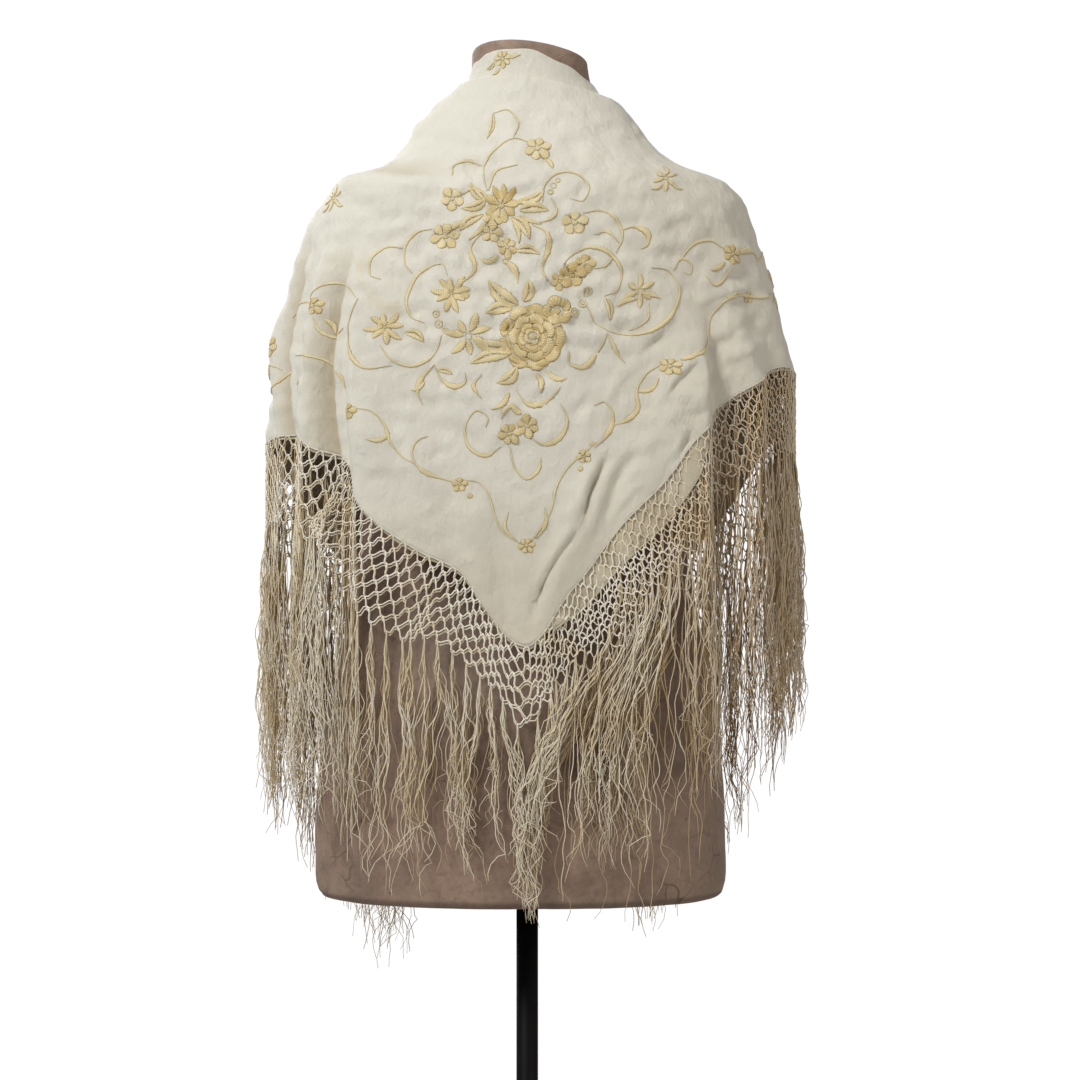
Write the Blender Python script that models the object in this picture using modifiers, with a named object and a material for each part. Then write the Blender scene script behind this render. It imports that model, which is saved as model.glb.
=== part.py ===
"""Manila shawl on a dress form, modelled for Blender 4.5.

The shawl is one square of silk with a knotted fringe on all four sides. It is folded from corner to corner,
laid round the neck and over the shoulders of a limbless dress form, and its two long ends hang down in front.
The form stands on a pole with a round foot.

Metres, +Z up. The back of the shawl, with its point, faces -Y, and +X is on the right of someone who looks at
that back. The origin is on the floor, in the middle of the foot.

Two words are used throughout. "Across" runs over the shawl from its left front edge at -1, past the middle of
the back at 0, to its right front edge at 1. "Angle" runs round a horizontal section, 0 at the back and 90 at +X.
"""

import math

import bmesh
import bpy
import numpy as np

# Driving sizes of the cloth
CLOTH = 0.0012  # wall of the silk
NET = 0.0012  # wall of the knotted net
SEAM = 0.0006  # gap left between pieces that meet edge to edge
NET_DEPTH = 0.088  # the knotted net, measured down from the hem
STRIP_GAP = 0.0008  # between a net and the strip below it
STRIP_DEPTH = 0.004  # the strip that the strands grow from
STRIP_WALL = 0.0024
STRAND_WIDTH = 0.0045
STRAND_END = 0.5  # a strand's thickness at its end, as a share of its root's
STRAND_LENGTHS = 2  # straight lengths that a strand hangs in
OUTER_LAYER = 0.0  # the outer fall's inner face, measured from the drape
UNDER_LAYER = -0.0003 - CLOTH  # the under fall's inner face

# Driving sizes of the stand
FORM_BOTTOM = 0.630
FORM_TOP = 1.415
TOP_TILT = 0.006  # the neck's top is this much higher at its back, and at its left, than in the middle
POLE_RADIUS = 0.0102
FOOT_RADIUS = 0.180
FOOT_THICKNESS = 0.006
TOUCH = 0.0003  # gap kept between pieces that rest on each other

COLUMNS = 92  # columns of the drape, closer together where it is creased
FOLD_FULL = 0.75  # a fold has its full depth from this share of its length downwards

# The stretches of the outer fall, from left to right, and where across they are parted
FALL_STRETCHES = ("shawl_left_end", "shawl_left_side", "shawl_back_fall", "shawl_right_side", "shawl_right_end")
FALL_SEAMS = (-0.56, -0.26, 0.26, 0.56)

# The dress form: height, half width left and right, depth behind and in front, squareness of the section
FORM_SECTIONS = np.array([
    (0.630, 0.1940, 0.1820, 0.1090, 0.1060, 2.35),
    (0.648, 0.1980, 0.1860, 0.1130, 0.1090, 2.35),
    (0.700, 0.1975, 0.1855, 0.1165, 0.1110, 2.35),
    (0.760, 0.1930, 0.1810, 0.1150, 0.1100, 2.30),
    (0.820, 0.1830, 0.1730, 0.1060, 0.1080, 2.25),
    (0.900, 0.1660, 0.1580, 0.0900, 0.1050, 2.20),
    (0.980, 0.1550, 0.1490, 0.0840, 0.1030, 2.20),
    (1.070, 0.1630, 0.1590, 0.0930, 0.1080, 2.20),
    (1.150, 0.1800, 0.1780, 0.1080, 0.1170, 2.25),
    (1.210, 0.1920, 0.1920, 0.1150, 0.1170, 2.30),
    (1.250, 0.1950, 0.1950, 0.1120, 0.1080, 2.35),
    (1.280, 0.1730, 0.1750, 0.1030, 0.0960, 2.30),
    (1.300, 0.1390, 0.1410, 0.0940, 0.0860, 2.20),
    (1.318, 0.1100, 0.1140, 0.0850, 0.0780, 2.15),
    (1.336, 0.0940, 0.0980, 0.0755, 0.0705, 2.05),
    (1.352, 0.0800, 0.0840, 0.0665, 0.0640, 2.00),
    (1.366, 0.0680, 0.0720, 0.0600, 0.0590, 2.00),
    (1.380, 0.0575, 0.0635, 0.0555, 0.0548, 2.00),
    (1.392, 0.0540, 0.0600, 0.0535, 0.0530, 2.00),
    (1.405, 0.0520, 0.0580, 0.0525, 0.0522, 2.00),
    (1.415, 0.0515, 0.0575, 0.0522, 0.0520, 2.00),
])

# The drape, the inner face of the outer fall: height, half width left and right, depth behind and in front,
# squareness of the section
DRAPE_SECTIONS = np.array([
    (0.700, 0.2370, 0.2560, 0.1290, 0.1340, 2.30),
    (0.860, 0.2370, 0.2560, 0.1270, 0.1330, 2.30),
    (0.960, 0.2370, 0.2550, 0.1240, 0.1320, 2.30),
    (1.058, 0.2345, 0.2530, 0.1250, 0.1310, 2.30),
    (1.111, 0.2290, 0.2440, 0.1260, 0.1300, 2.30),
    (1.158, 0.2240, 0.2300, 0.1255, 0.1290, 2.30),
    (1.205, 0.2175, 0.2190, 0.1235, 0.1260, 2.30),
    (1.243, 0.2070, 0.2110, 0.1190, 0.1190, 2.30),
    (1.266, 0.1970, 0.2050, 0.1150, 0.1110, 2.30),
    (1.290, 0.1800, 0.1890, 0.1080, 0.1010, 2.25),
    (1.304, 0.1500, 0.1540, 0.1020, 0.0940, 2.20),
    (1.314, 0.1270, 0.1350, 0.0970, 0.0890, 2.15),
    (1.328, 0.1150, 0.1190, 0.0880, 0.0820, 2.10),
    (1.346, 0.1050, 0.1040, 0.0770, 0.0740, 2.05),
    (1.366, 0.0840, 0.0840, 0.0660, 0.0640, 2.00),
    (1.380, 0.0645, 0.0680, 0.0585, 0.0575, 2.00),
    (1.392, 0.0560, 0.0620, 0.0556, 0.0551, 2.00),
    (1.405, 0.0541, 0.0601, 0.0546, 0.0543, 2.00),
    (1.430, 0.0536, 0.0596, 0.0543, 0.0541, 2.00),
])

# The two front edges: height, angle of the left edge, angle of the right edge
FRONT_EDGES = np.array([
    (0.700, 160.0, 162.0),
    (0.900, 160.0, 162.0),
    (1.100, 158.0, 160.0),
    (1.200, 156.0, 157.0),
    (1.290, 149.0, 150.0),
    (1.346, 128.0, 128.0),
    (1.375, 113.0, 113.0),
    (1.430, 106.0, 106.0),
])

# The neck edge: across, height, height that the neck fold stands above it
NECK_LINE = np.array([
    (-1.00, 1.372, 0.004),
    (-0.78, 1.378, 0.006),
    (-0.56, 1.382, 0.009),
    (-0.40, 1.384, 0.018),
    (-0.27, 1.384, 0.024),
    (-0.14, 1.384, 0.028),
    (0.00, 1.382, 0.029),
    (0.14, 1.379, 0.024),
    (0.29, 1.375, 0.018),
    (0.42, 1.371, 0.013),
    (0.56, 1.367, 0.008),
    (0.78, 1.366, 0.006),
    (1.00, 1.368, 0.004),
])

# The hem: across, height of the outer fall's hem, how far the under fall's hem hangs below it
HEM_LINE = np.array([
    (-1.000, 0.830, 0.004),
    (-0.860, 0.925, 0.004),
    (-0.720, 1.005, 0.005),
    (-0.600, 1.042, 0.006),
    (-0.460, 1.056, 0.007),
    (-0.340, 1.057, 0.007),
    (-0.310, 1.045, 0.006),
    (-0.240, 1.030, 0.006),
    (-0.210, 0.998, 0.006),
    (-0.180, 0.977, 0.005),
    (-0.125, 0.951, 0.004),
    (-0.072, 0.933, 0.004),
    (-0.040, 0.899, 0.004),
    (-0.012, 0.872, 0.004),
    (0.000, 0.867, 0.004),
    (0.012, 0.877, 0.005),
    (0.032, 0.906, 0.019),
    (0.060, 0.934, 0.030),
    (0.100, 0.974, 0.035),
    (0.160, 1.018, 0.038),
    (0.190, 1.046, 0.036),
    (0.225, 1.068, 0.014),
    (0.300, 1.095, 0.006),
    (0.440, 1.120, 0.006),
    (0.580, 1.120, 0.006),
    (0.720, 1.060, 0.005),
    (0.860, 0.970, 0.004),
    (1.000, 0.872, 0.004),
])

# The loose strands: across, how far they hang below the net
STRAND_LINE = np.array([
    (-1.00, 0.236),
    (-0.25, 0.236),
    (-0.12, 0.205),
    (-0.06, 0.150),
    (0.00, 0.150),
    (0.05, 0.190),
    (0.10, 0.225),
    (0.25, 0.236),
    (1.00, 0.236),
])

# Folds of the drape: across at the hem, across at the upper end, height of the upper end, half width towards
# the back, half width towards the front, depth outwards, sideways lean of the crest towards the front
FOLDS = np.array([
    (-0.905, -0.820, 1.310, 0.045, 0.045, 0.012, 0.000),
    (-0.790, -0.740, 1.300, 0.050, 0.035, 0.015, 0.004),
    (-0.660, -0.640, 1.290, 0.055, 0.030, 0.014, 0.004),
    (-0.540, -0.520, 1.270, 0.060, 0.030, 0.009, 0.002),
    (-0.435, -0.440, 1.240, 0.035, 0.035, 0.006, 0.000),
    (-0.323, -0.345, 1.290, 0.070, 0.025, 0.019, 0.004),
    (-0.206, -0.260, 1.260, 0.072, 0.024, 0.019, 0.004),
    (-0.125, -0.160, 1.120, 0.045, 0.040, 0.004, 0.000),
    (-0.052, -0.075, 1.060, 0.030, 0.030, 0.005, 0.000),
    (0.012, 0.092, 1.060, 0.022, 0.034, 0.008, 0.000),
    (0.120, 0.190, 1.130, 0.034, 0.030, 0.006, 0.000),
    (0.206, 0.235, 1.180, 0.060, 0.026, 0.018, 0.003),
    (0.330, 0.320, 1.230, 0.045, 0.040, 0.009, 0.000),
    (0.460, 0.440, 1.260, 0.055, 0.035, 0.010, 0.003),
    (0.600, 0.580, 1.280, 0.055, 0.032, 0.012, 0.004),
    (0.720, 0.690, 1.290, 0.050, 0.032, 0.014, 0.004),
    (0.835, 0.780, 1.300, 0.048, 0.035, 0.014, 0.003),
    (0.935, 0.850, 1.310, 0.040, 0.040, 0.010, 0.000),
])

# Materials: colour, roughness, metallic
FINISHES = {
    "silk": ((0.80, 0.77, 0.70), 0.55, 0.0),
    "net": ((0.72, 0.66, 0.54), 0.70, 0.0),
    "fringe": ((0.70, 0.63, 0.50), 0.75, 0.0),
    "papier_mache": ((0.26, 0.20, 0.165), 0.70, 0.0),
    "black_steel": ((0.012, 0.012, 0.013), 0.45, 0.6),
}


def smooth_column(table, column, at):
    """A table's column read at any value of its first column, along a curve that never overshoots a row."""
    known, values = table[:, 0], table[:, column]
    gaps = np.diff(known)
    slopes = np.diff(values) / gaps
    before, after = slopes[:-1], slopes[1:]
    same_way = before * after > 0
    share = np.where(same_way, before * after, 0.0)
    middle = np.where(same_way, 2 * share / np.where(same_way, before + after, 1.0), 0.0)
    tangents = np.concatenate([slopes[:1], middle, slopes[-1:]])
    at = np.clip(np.asarray(at, float), known[0], known[-1])
    row = np.clip(np.searchsorted(known, at, side="right") - 1, 0, len(gaps) - 1)
    gap = gaps[row]
    t = (at - known[row]) / gap
    return (
        values[row] * (1 + 2 * t) * (1 - t) ** 2
        + values[row + 1] * t**2 * (3 - 2 * t)
        + gap * tangents[row] * t * (1 - t) ** 2
        - gap * tangents[row + 1] * t**2 * (1 - t)
    )


def smooth_step(low, high, at):
    t = np.clip((at - low) / (high - low), 0.0, 1.0)
    return t * t * (3 - 2 * t)


def section_point(left, right, back, front, square, angle):
    """A point of a rounded section that may differ on its four sides; square is 2 for an ellipse."""
    sine, cosine = np.sin(angle), np.cos(angle)
    power = 2 / square
    x = np.where(sine < 0, -left, right) * np.abs(sine) ** power
    y = np.where(cosine > 0, -back, front) * np.abs(cosine) ** power
    return np.stack([x, y], axis=-1)


def finish(name):
    """The material of that name, made the first time it is asked for."""
    material = bpy.data.materials.get(name)
    if material is None:
        material = bpy.data.materials.new(name)
        material.use_nodes = True
        colour, roughness, metallic = FINISHES[name]
        shader = material.node_tree.nodes["Principled BSDF"]
        shader.inputs["Base Color"].default_value = (*colour, 1.0)
        shader.inputs["Roughness"].default_value = roughness
        shader.inputs["Metallic"].default_value = metallic
    return material


def add_object(name, mesh, material, parent):
    """A mesh as a new object of the part, in its collection and with its material."""
    mesh.materials.append(finish(material))
    made = bpy.data.objects.new(name, mesh)
    bpy.data.collections["manila_shawl"].objects.link(made)
    made.parent = parent
    return made


def smooth_mesh(name, points, faces):
    """A smooth shaded mesh from points and faces."""
    mesh = bpy.data.meshes.new(name)
    mesh.from_pydata([tuple(p) for p in points], [], faces)
    mesh.shade_smooth()
    return mesh


def drape_point(across, height):
    """The drape without its folds, and the outward and sideways directions there."""
    edge_left = smooth_column(FRONT_EDGES, 1, height)
    edge_right = smooth_column(FRONT_EDGES, 2, height)
    left, right, back, front, square = (smooth_column(DRAPE_SECTIONS, c, height) for c in range(1, 6))

    def at(shift):
        place = across + shift
        angle = np.radians(place * np.where(place < 0, edge_left, edge_right))
        return section_point(left, right, back, front, square, angle)

    beside = 0.004  # the section's direction is read between points this far across on each side
    point, ahead = at(0.0), at(beside) - at(-beside)
    sideways = ahead / np.linalg.norm(ahead, axis=-1, keepdims=True)
    outward = np.stack([sideways[..., 1], -sideways[..., 0]], axis=-1)
    return point, outward, sideways


def fold_shape(across, height, hem):
    """How far the folds push the drape outwards and sideways. A fold is a rounded crest that grows from its upper
    end down to the hem, with its own width on each side."""
    outward = np.zeros_like(height)
    sideways = np.zeros_like(height)
    shortest = 0.01
    for at_hem, at_top, top, back_width, front_width, depth, lean in FOLDS:
        fall = np.clip((top - height) / np.maximum(top - hem, shortest), 0.0, 1.0)
        centre = at_top + (at_hem - at_top) * fall
        side = 1.0 if at_hem >= 0 else -1.0
        away = (across - centre) * side
        width = np.where(away < 0, back_width, front_width)
        crest = np.exp(-((away / width) ** 2))
        growth = smooth_step(0.0, FOLD_FULL, fall)
        outward += depth * growth * crest
        sideways += side * lean * growth * crest
    return outward, sideways


def drape(across, height):
    """The folded drape, as points, for arrays of the same shape."""
    hem = smooth_column(HEM_LINE, 1, across)
    point, outward, sideways = drape_point(across, height)
    push, lean = fold_shape(across, height, hem)
    flat = point + outward * push[..., None] + sideways * lean[..., None]
    return np.concatenate([flat, height[..., None]], axis=-1)


def column_places(count):
    """Where the drape's columns go: even steps of the hem's length plus an allowance for how sharply it turns."""
    turning_worth = 0.017  # metres of hem that a turn of one radian counts for
    fine = np.linspace(-1, 1, 3001)
    hem = smooth_column(HEM_LINE, 1, fine)
    plan = drape(fine, hem)
    step = np.diff(plan, axis=0)
    heading = np.unwrap(np.arctan2(step[:, 1], step[:, 0]))
    turning = np.abs(np.gradient(heading))
    cost = np.linalg.norm(step, axis=1) + turning_worth * turning
    total = np.concatenate([[0.0], np.cumsum(cost)])
    places = np.interp(np.linspace(0, total[-1], count), total, fine)
    places[np.argmin(np.abs(places))] = 0.0
    return places


# Rows of the shawl's grid, from the neck fold's free edge down to the nets' lower edges
NECK_FOLD_ROWS = (1.0, 0.5)  # shares of the neck fold's stand above the neck edge
FALL_ROWS = (0.0, 0.045, 0.10, 0.16, 0.225, 0.30, 0.40, 0.52, 0.66, 0.79, 0.90, 1.0)
NECK_ROW = len(NECK_FOLD_ROWS)
TUCK_ROW = NECK_ROW + 1  # the neck fold reaches down to here inside the fall
HEM_ROW = NECK_ROW + len(FALL_ROWS) - 1
UNDER_FROM_ROW = HEM_ROW - 2  # the under fall starts here, hidden behind the outer fall
UNDER_HEM_ROW = HEM_ROW + 1
NET_ROW = HEM_ROW + 2
UNDER_NET_ROW = HEM_ROW + 3


def drape_grid():
    """Every point that the cloth and the nets are made from, and the outward direction at each. The last rows hang
    straight down from the hem, and all of them face the same way as the hem does."""
    across = column_places(COLUMNS)
    neck, stand = (smooth_column(NECK_LINE, c, across) for c in (1, 2))
    hem, under = (smooth_column(HEM_LINE, c, across) for c in (1, 2))
    heights = [neck + stand * share for share in NECK_FOLD_ROWS]
    heights += [neck + (hem - neck) * share for share in FALL_ROWS]
    rows = [drape(across, height) for height in heights]
    for drop in (under, np.full_like(under, NET_DEPTH), under + NET_DEPTH):
        hung = rows[HEM_ROW].copy()
        hung[:, 2] = hem - drop
        rows.append(hung)
    points = np.array(rows)
    facing = outward_directions(points)
    facing[HEM_ROW:] = facing[HEM_ROW] * (1, 1, 0)
    facing[HEM_ROW:] /= np.linalg.norm(facing[HEM_ROW:], axis=-1, keepdims=True)
    return across, points, facing


def outward_directions(points):
    """The outward unit normal at each point of a grid of cloth."""
    normals = np.cross(np.gradient(points, axis=0), np.gradient(points, axis=1))
    return normals / np.linalg.norm(normals, axis=-1, keepdims=True)


def cloth_wall(name, points, facing, inner, wall, material, parent):
    """A wall lofted over a grid of points. Both of its faces are set off from the same points along the same
    directions, so that layers of cloth stay parallel however sharply they are folded."""
    rows, columns = points.shape[:2]
    inside = np.arange(rows * columns).reshape(rows, columns)
    outside = inside + rows * columns
    skins = np.concatenate([(points + facing * d).reshape(-1, 3) for d in (inner, inner + wall)])

    def ruled(first, second):
        """Triangles between two lines of points, split the same way in every layer."""
        return [
            np.stack([first[:-1], second[:-1], second[1:]], axis=1),
            np.stack([first[:-1], second[1:], first[1:]], axis=1),
        ]

    faces = []
    for r in range(rows - 1):
        faces += ruled(outside[r], outside[r + 1])
        faces += [t[:, ::-1] for t in ruled(inside[r], inside[r + 1])]
    faces += ruled(inside[0], outside[0])
    faces += [t[:, ::-1] for t in ruled(inside[-1], outside[-1])]
    faces += ruled(outside[:, 0], inside[:, 0])
    faces += [t[:, ::-1] for t in ruled(outside[:, -1], inside[:, -1])]
    add_object(name, smooth_mesh(name, skins, np.concatenate(faces).tolist()), material, parent)


def cut_seams(points, facing, first_row, last_row, first, last, seams):
    """A block of the grid, drawn in by half a seam on each side named in seams: top, bottom, left or right."""
    block = points[first_row : last_row + 1, first : last + 1].copy()
    half = SEAM / 2
    if "top" in seams:
        block[0, :, 2] -= half
    if "bottom" in seams:
        block[-1, :, 2] += half
    for side, end, inward in (("left", 0, 1), ("right", -1, -2)):
        if side in seams:
            way = block[:, inward] - block[:, end]
            block[:, end] += way / np.linalg.norm(way, axis=-1, keepdims=True) * half
    return block, facing[first_row : last_row + 1, first : last + 1]


def column_near(across, place):
    return int(np.argmin(np.abs(across - place)))


def build_falls(across, points, facing, parent):
    """The outer fall in its stretches, the neck fold that stands inside it, and the under fall that shows below
    it."""
    last = len(across) - 1
    pieces = [
        ("shawl_neck_fold", 0, TUCK_ROW, 0, last, (), UNDER_LAYER),
        ("shawl_under_fall", UNDER_FROM_ROW, UNDER_HEM_ROW, 0, last, ("bottom",), UNDER_LAYER),
    ]
    ends = [0, *(column_near(across, place) for place in FALL_SEAMS), last]
    for name, first, final in zip(FALL_STRETCHES, ends[:-1], ends[1:]):
        pieces.append((name, NECK_ROW, HEM_ROW, first, final, ("bottom", "left", "right"), OUTER_LAYER))
    for name, top, bottom, first, final, seams, layer in pieces:
        block, directions = cut_seams(points, facing, top, bottom, first, final, seams)
        cloth_wall(name, block, directions, layer, CLOTH, "silk", parent)


def build_nets(across, points, facing, parent):
    """The knotted net along each side of the square: two on the outer fall and two on the under fall."""
    middle, last = column_near(across, 0.0), len(across) - 1
    for side, first, final, seam in (("left", 0, middle, "right"), ("right", middle, last, "left")):
        seams = ("top", "bottom", seam)
        for fall, top, bottom, layer in (
            ("outer", HEM_ROW, NET_ROW, OUTER_LAYER),
            ("under", UNDER_HEM_ROW, UNDER_NET_ROW, UNDER_LAYER),
        ):
            block, directions = cut_seams(points, facing, top, bottom, first, final, seams)
            cloth_wall(f"net_{fall}_{side}", block, directions, layer, NET, "net", parent)


def along_row(row, places):
    """Points at fractional column numbers of a grid row, on the straight lines between its columns."""
    base = np.clip(places.astype(int), 0, len(row) - 2)
    t = (places - base)[:, None]
    return row[base] * (1 - t) + row[base + 1] * t


def strand_places(row, first, last, step):
    """Fractional column numbers of a strip's bends and its strands' sides, and which stretches of the strip carry
    a strand. A strand starts just past a column, so that it never lies across a bend of the net."""
    narrowest = 0.0065  # columns closer together than this carry no strand
    run = np.linalg.norm(np.diff(row[:, :2], axis=0), axis=1)
    places, carries = [first + SEAM / 2 / run[first]], []
    for column in range(first, last):
        if column > first:
            places.append(float(column))
            carries.append(False)
        if run[column] > narrowest and (column - first) % step == step // 2:
            places[-1] += SEAM / 2 / run[column]
            places.append(places[-1] + STRAND_WIDTH / run[column])
            carries.append(True)
    places.append(last - SEAM / 2 / run[last - 1])
    carries.append(False)
    return np.array(places), carries


def build_fringe(name, points, facing, drops, row, first, last, step, inner, seed, parent):
    """A narrow strip under a net's lower edge, with strands drawn down out of its underside. Each strand is a
    four-sided lock that hangs in short straight lengths and thins towards its end."""
    low = inner if inner >= 0 else inner + NET - STRIP_WALL
    outwards = 1.0 if inner >= 0 else -1.0
    random = np.random.default_rng(seed)
    places, carries = strand_places(points[row], first, last, step)
    edge, away = along_row(points[row], places), along_row(facing[row], places)
    hangs = np.interp(places, np.arange(len(drops)), drops)
    rings = []
    for depth in (STRIP_GAP, STRIP_GAP + STRIP_DEPTH):
        for offset in (low, low + STRIP_WALL):
            rings.append(edge + away * offset - np.array([0.0, 0.0, depth]))

    form = bmesh.new()
    inner_top, outer_top, inner_low, outer_low = ([form.verts.new(p) for p in ring] for ring in rings)
    form.faces.new((inner_top[0], inner_low[0], outer_low[0], outer_top[0]))
    form.faces.new((inner_top[-1], outer_top[-1], outer_low[-1], inner_low[-1]))
    for i, carries_strand in enumerate(carries):
        form.faces.new((outer_top[i], outer_low[i], outer_low[i + 1], outer_top[i + 1]))
        form.faces.new((inner_top[i + 1], inner_low[i + 1], inner_low[i], inner_top[i]))
        form.faces.new((inner_top[i], outer_top[i], outer_top[i + 1]))
        form.faces.new((inner_top[i], outer_top[i + 1], inner_top[i + 1]))
        root = form.faces.new((inner_low[i], inner_low[i + 1], outer_low[i + 1], outer_low[i]))
        if carries_strand:
            along = edge[i + 1] - edge[i]
            along[2] = 0.0
            run = np.linalg.norm(along)
            room = run / (places[i + 1] - places[i]) - STRAND_WIDTH - SEAM
            draw_strand(form, root, away[i] * outwards, along / run, room, hangs[i], random)
    form.normal_update()
    mesh = bpy.data.meshes.new(name)
    form.to_mesh(mesh)
    form.free()
    add_object(name, mesh, "fringe", parent)


def draw_strand(form, root, outward, along, room, hang, random):
    """A strand, extruded in lengths from a face under the strip. It sways along the net as far as there is room
    before the next bend, and swings only away from the other layer's strands."""
    sway, swing, uneven = min(0.005, room), 0.002, 0.07
    drop = hang * (1 + uneven * random.uniform(-1, 1))
    corners = [np.array(v.co) for v in root.verts]
    centre = np.mean(corners, axis=0)
    for length in range(1, STRAND_LENGTHS + 1):
        share = length / STRAND_LENGTHS
        width = 1 - (1 - STRAND_END) * share
        move = along * random.uniform(0.0, sway) + outward * random.uniform(0.0, swing)
        root = bmesh.ops.extrude_discrete_faces(form, faces=[root])["faces"][0]
        for vert, corner in zip(root.verts, corners):
            spot = centre + (corner - centre) * width + move
            spot[2] = corner[2] - drop * share
            vert.co = spot


def build_fringes(across, points, facing, parent):
    middle, last = column_near(across, 0.0), len(across) - 1
    drops = smooth_column(STRAND_LINE, 1, across)
    seed = 1
    for fall, row, step, layer in (
        ("outer", NET_ROW, 1, OUTER_LAYER),
        ("under", UNDER_NET_ROW, 2, UNDER_LAYER),
    ):
        for side, first, final in (("left", 0, middle), ("right", middle, last)):
            name = f"fringe_{fall}_{side}"
            build_fringe(name, points, facing, drops, row, first, final, step, layer, seed, parent)
            seed += 1


def build_torso(parent):
    """The dress form: rounded sections skinned from the base to the neck, closed flat below and by a slanted top."""
    around = 36
    slant_height = 0.015  # the part of the neck, below its top, that takes up the slant
    between = [0.730, 0.790, 0.860, 0.940, 1.025, 1.110]  # rings added where the sections are far apart
    heights = np.sort(np.concatenate([FORM_SECTIONS[:, 0], between]))
    angle = np.radians(np.arange(around) * 360 / around)
    points = []
    for height in heights:
        left, right, back, front, square = (float(smooth_column(FORM_SECTIONS, c, height)) for c in range(1, 6))
        flat = section_point(left, right, back, front, square, angle)
        slope = TOP_TILT * smooth_step(FORM_TOP - slant_height, FORM_TOP, height)
        level = height - slope * (flat[:, 0] / right + flat[:, 1] / back)
        points.extend(np.column_stack([flat, level]))
    ring = np.arange(around)
    beside = np.roll(ring, -1)
    band = np.stack([ring, beside, beside + around, ring + around], axis=1)
    faces = np.concatenate([band + r * around for r in range(len(heights) - 1)]).tolist()
    faces.append(ring[::-1].tolist())
    faces.append((ring + (len(heights) - 1) * around).tolist())
    mesh = smooth_mesh("form_torso", points, faces)
    mesh.set_sharp_from_angle(angle=math.radians(50))
    add_object("form_torso", mesh, "papier_mache", parent)


def turned(name, profile, steps, parent):
    """A steel shape turned round the pole's axis, from a profile that runs down its outer side."""
    mesh = bpy.data.meshes.new(name)
    mesh.from_pydata([(r, 0.0, z) for r, z in profile], [(i, i + 1) for i in range(len(profile) - 1)], [])
    made = add_object(name, mesh, "black_steel", parent)
    screw = made.modifiers.new("turn", "SCREW")
    screw.steps = steps
    screw.render_steps = steps
    screw.use_merge_vertices = True
    screw.merge_threshold = 0.00005
    screw.use_smooth_shade = True


def build_stand(parent):
    """A round foot with a socket for the pole, the pole, and the plate that carries the dress form."""
    rim, round_over = 0.003, 0.0009
    hub_radius, hub_top = 0.030, FOOT_THICKNESS + 0.002
    turned("stand_foot", [
        (0.0, hub_top),
        (hub_radius, hub_top),
        (FOOT_RADIUS - 2 * rim, FOOT_THICKNESS),
        (FOOT_RADIUS - round_over, FOOT_THICKNESS - round_over),
        (FOOT_RADIUS, FOOT_THICKNESS - rim),
        (FOOT_RADIUS, 0.0),
        (0.0, 0.0),
    ], 40, parent)

    base = hub_top + TOUCH
    socket_radius, socket_top, chamfer = 0.021, base + 0.040, 0.003
    turned("stand_socket", [
        (POLE_RADIUS + TOUCH, socket_top),
        (socket_radius - chamfer, socket_top),
        (socket_radius, socket_top - chamfer),
        (socket_radius, base),
        (POLE_RADIUS + TOUCH, base),
        (POLE_RADIUS + TOUCH, socket_top),
    ], 24, parent)

    plate_radius, plate_thickness, plate_edge = 0.040, 0.008, 0.002
    plate_top = FORM_BOTTOM - TOUCH
    plate_bottom = plate_top - plate_thickness
    turned("stand_pole", [
        (0.0, plate_bottom - TOUCH),
        (POLE_RADIUS, plate_bottom - TOUCH),
        (POLE_RADIUS, base),
        (0.0, base),
    ], 24, parent)
    turned("stand_plate", [
        (0.0, plate_top),
        (plate_radius, plate_top),
        (plate_radius, plate_bottom + plate_edge),
        (plate_radius - plate_edge, plate_bottom),
        (0.0, plate_bottom),
    ], 28, parent)


def main():
    for old in list(bpy.data.objects):
        bpy.data.objects.remove(old, do_unlink=True)
    shawl = bpy.data.collections.new("manila_shawl")
    bpy.context.scene.collection.children.link(shawl)
    centre = bpy.data.objects.new("shawl_and_form", None)
    shawl.objects.link(centre)

    across, points, facing = drape_grid()
    build_falls(across, points, facing, centre)
    build_nets(across, points, facing, centre)
    build_fringes(across, points, facing, centre)
    build_torso(centre)
    build_stand(centre)


main()
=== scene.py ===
"""Manila shawl on a dress form: the looks, for Blender 4.5.

Metres, +Z up. The back of the shawl faces -Y. "Across" runs over the shawl from its left front edge at -1,
past the middle of the back at 0, to its right front edge at 1. "Girth" is the length along a horizontal
section of the cloth, 0 in the middle of the back and growing to the right. The embroidery and the creases
are laid out in girth and height, in millimetres.
"""

import bpy
import numpy as np
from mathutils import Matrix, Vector


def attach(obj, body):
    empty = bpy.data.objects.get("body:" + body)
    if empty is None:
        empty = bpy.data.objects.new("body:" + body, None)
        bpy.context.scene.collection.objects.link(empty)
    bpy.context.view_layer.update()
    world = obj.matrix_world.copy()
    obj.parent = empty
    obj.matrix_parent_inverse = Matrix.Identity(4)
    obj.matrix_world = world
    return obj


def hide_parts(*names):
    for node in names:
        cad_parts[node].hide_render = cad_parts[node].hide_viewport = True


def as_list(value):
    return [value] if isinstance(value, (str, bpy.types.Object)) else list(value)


MM = 0.001

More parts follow.
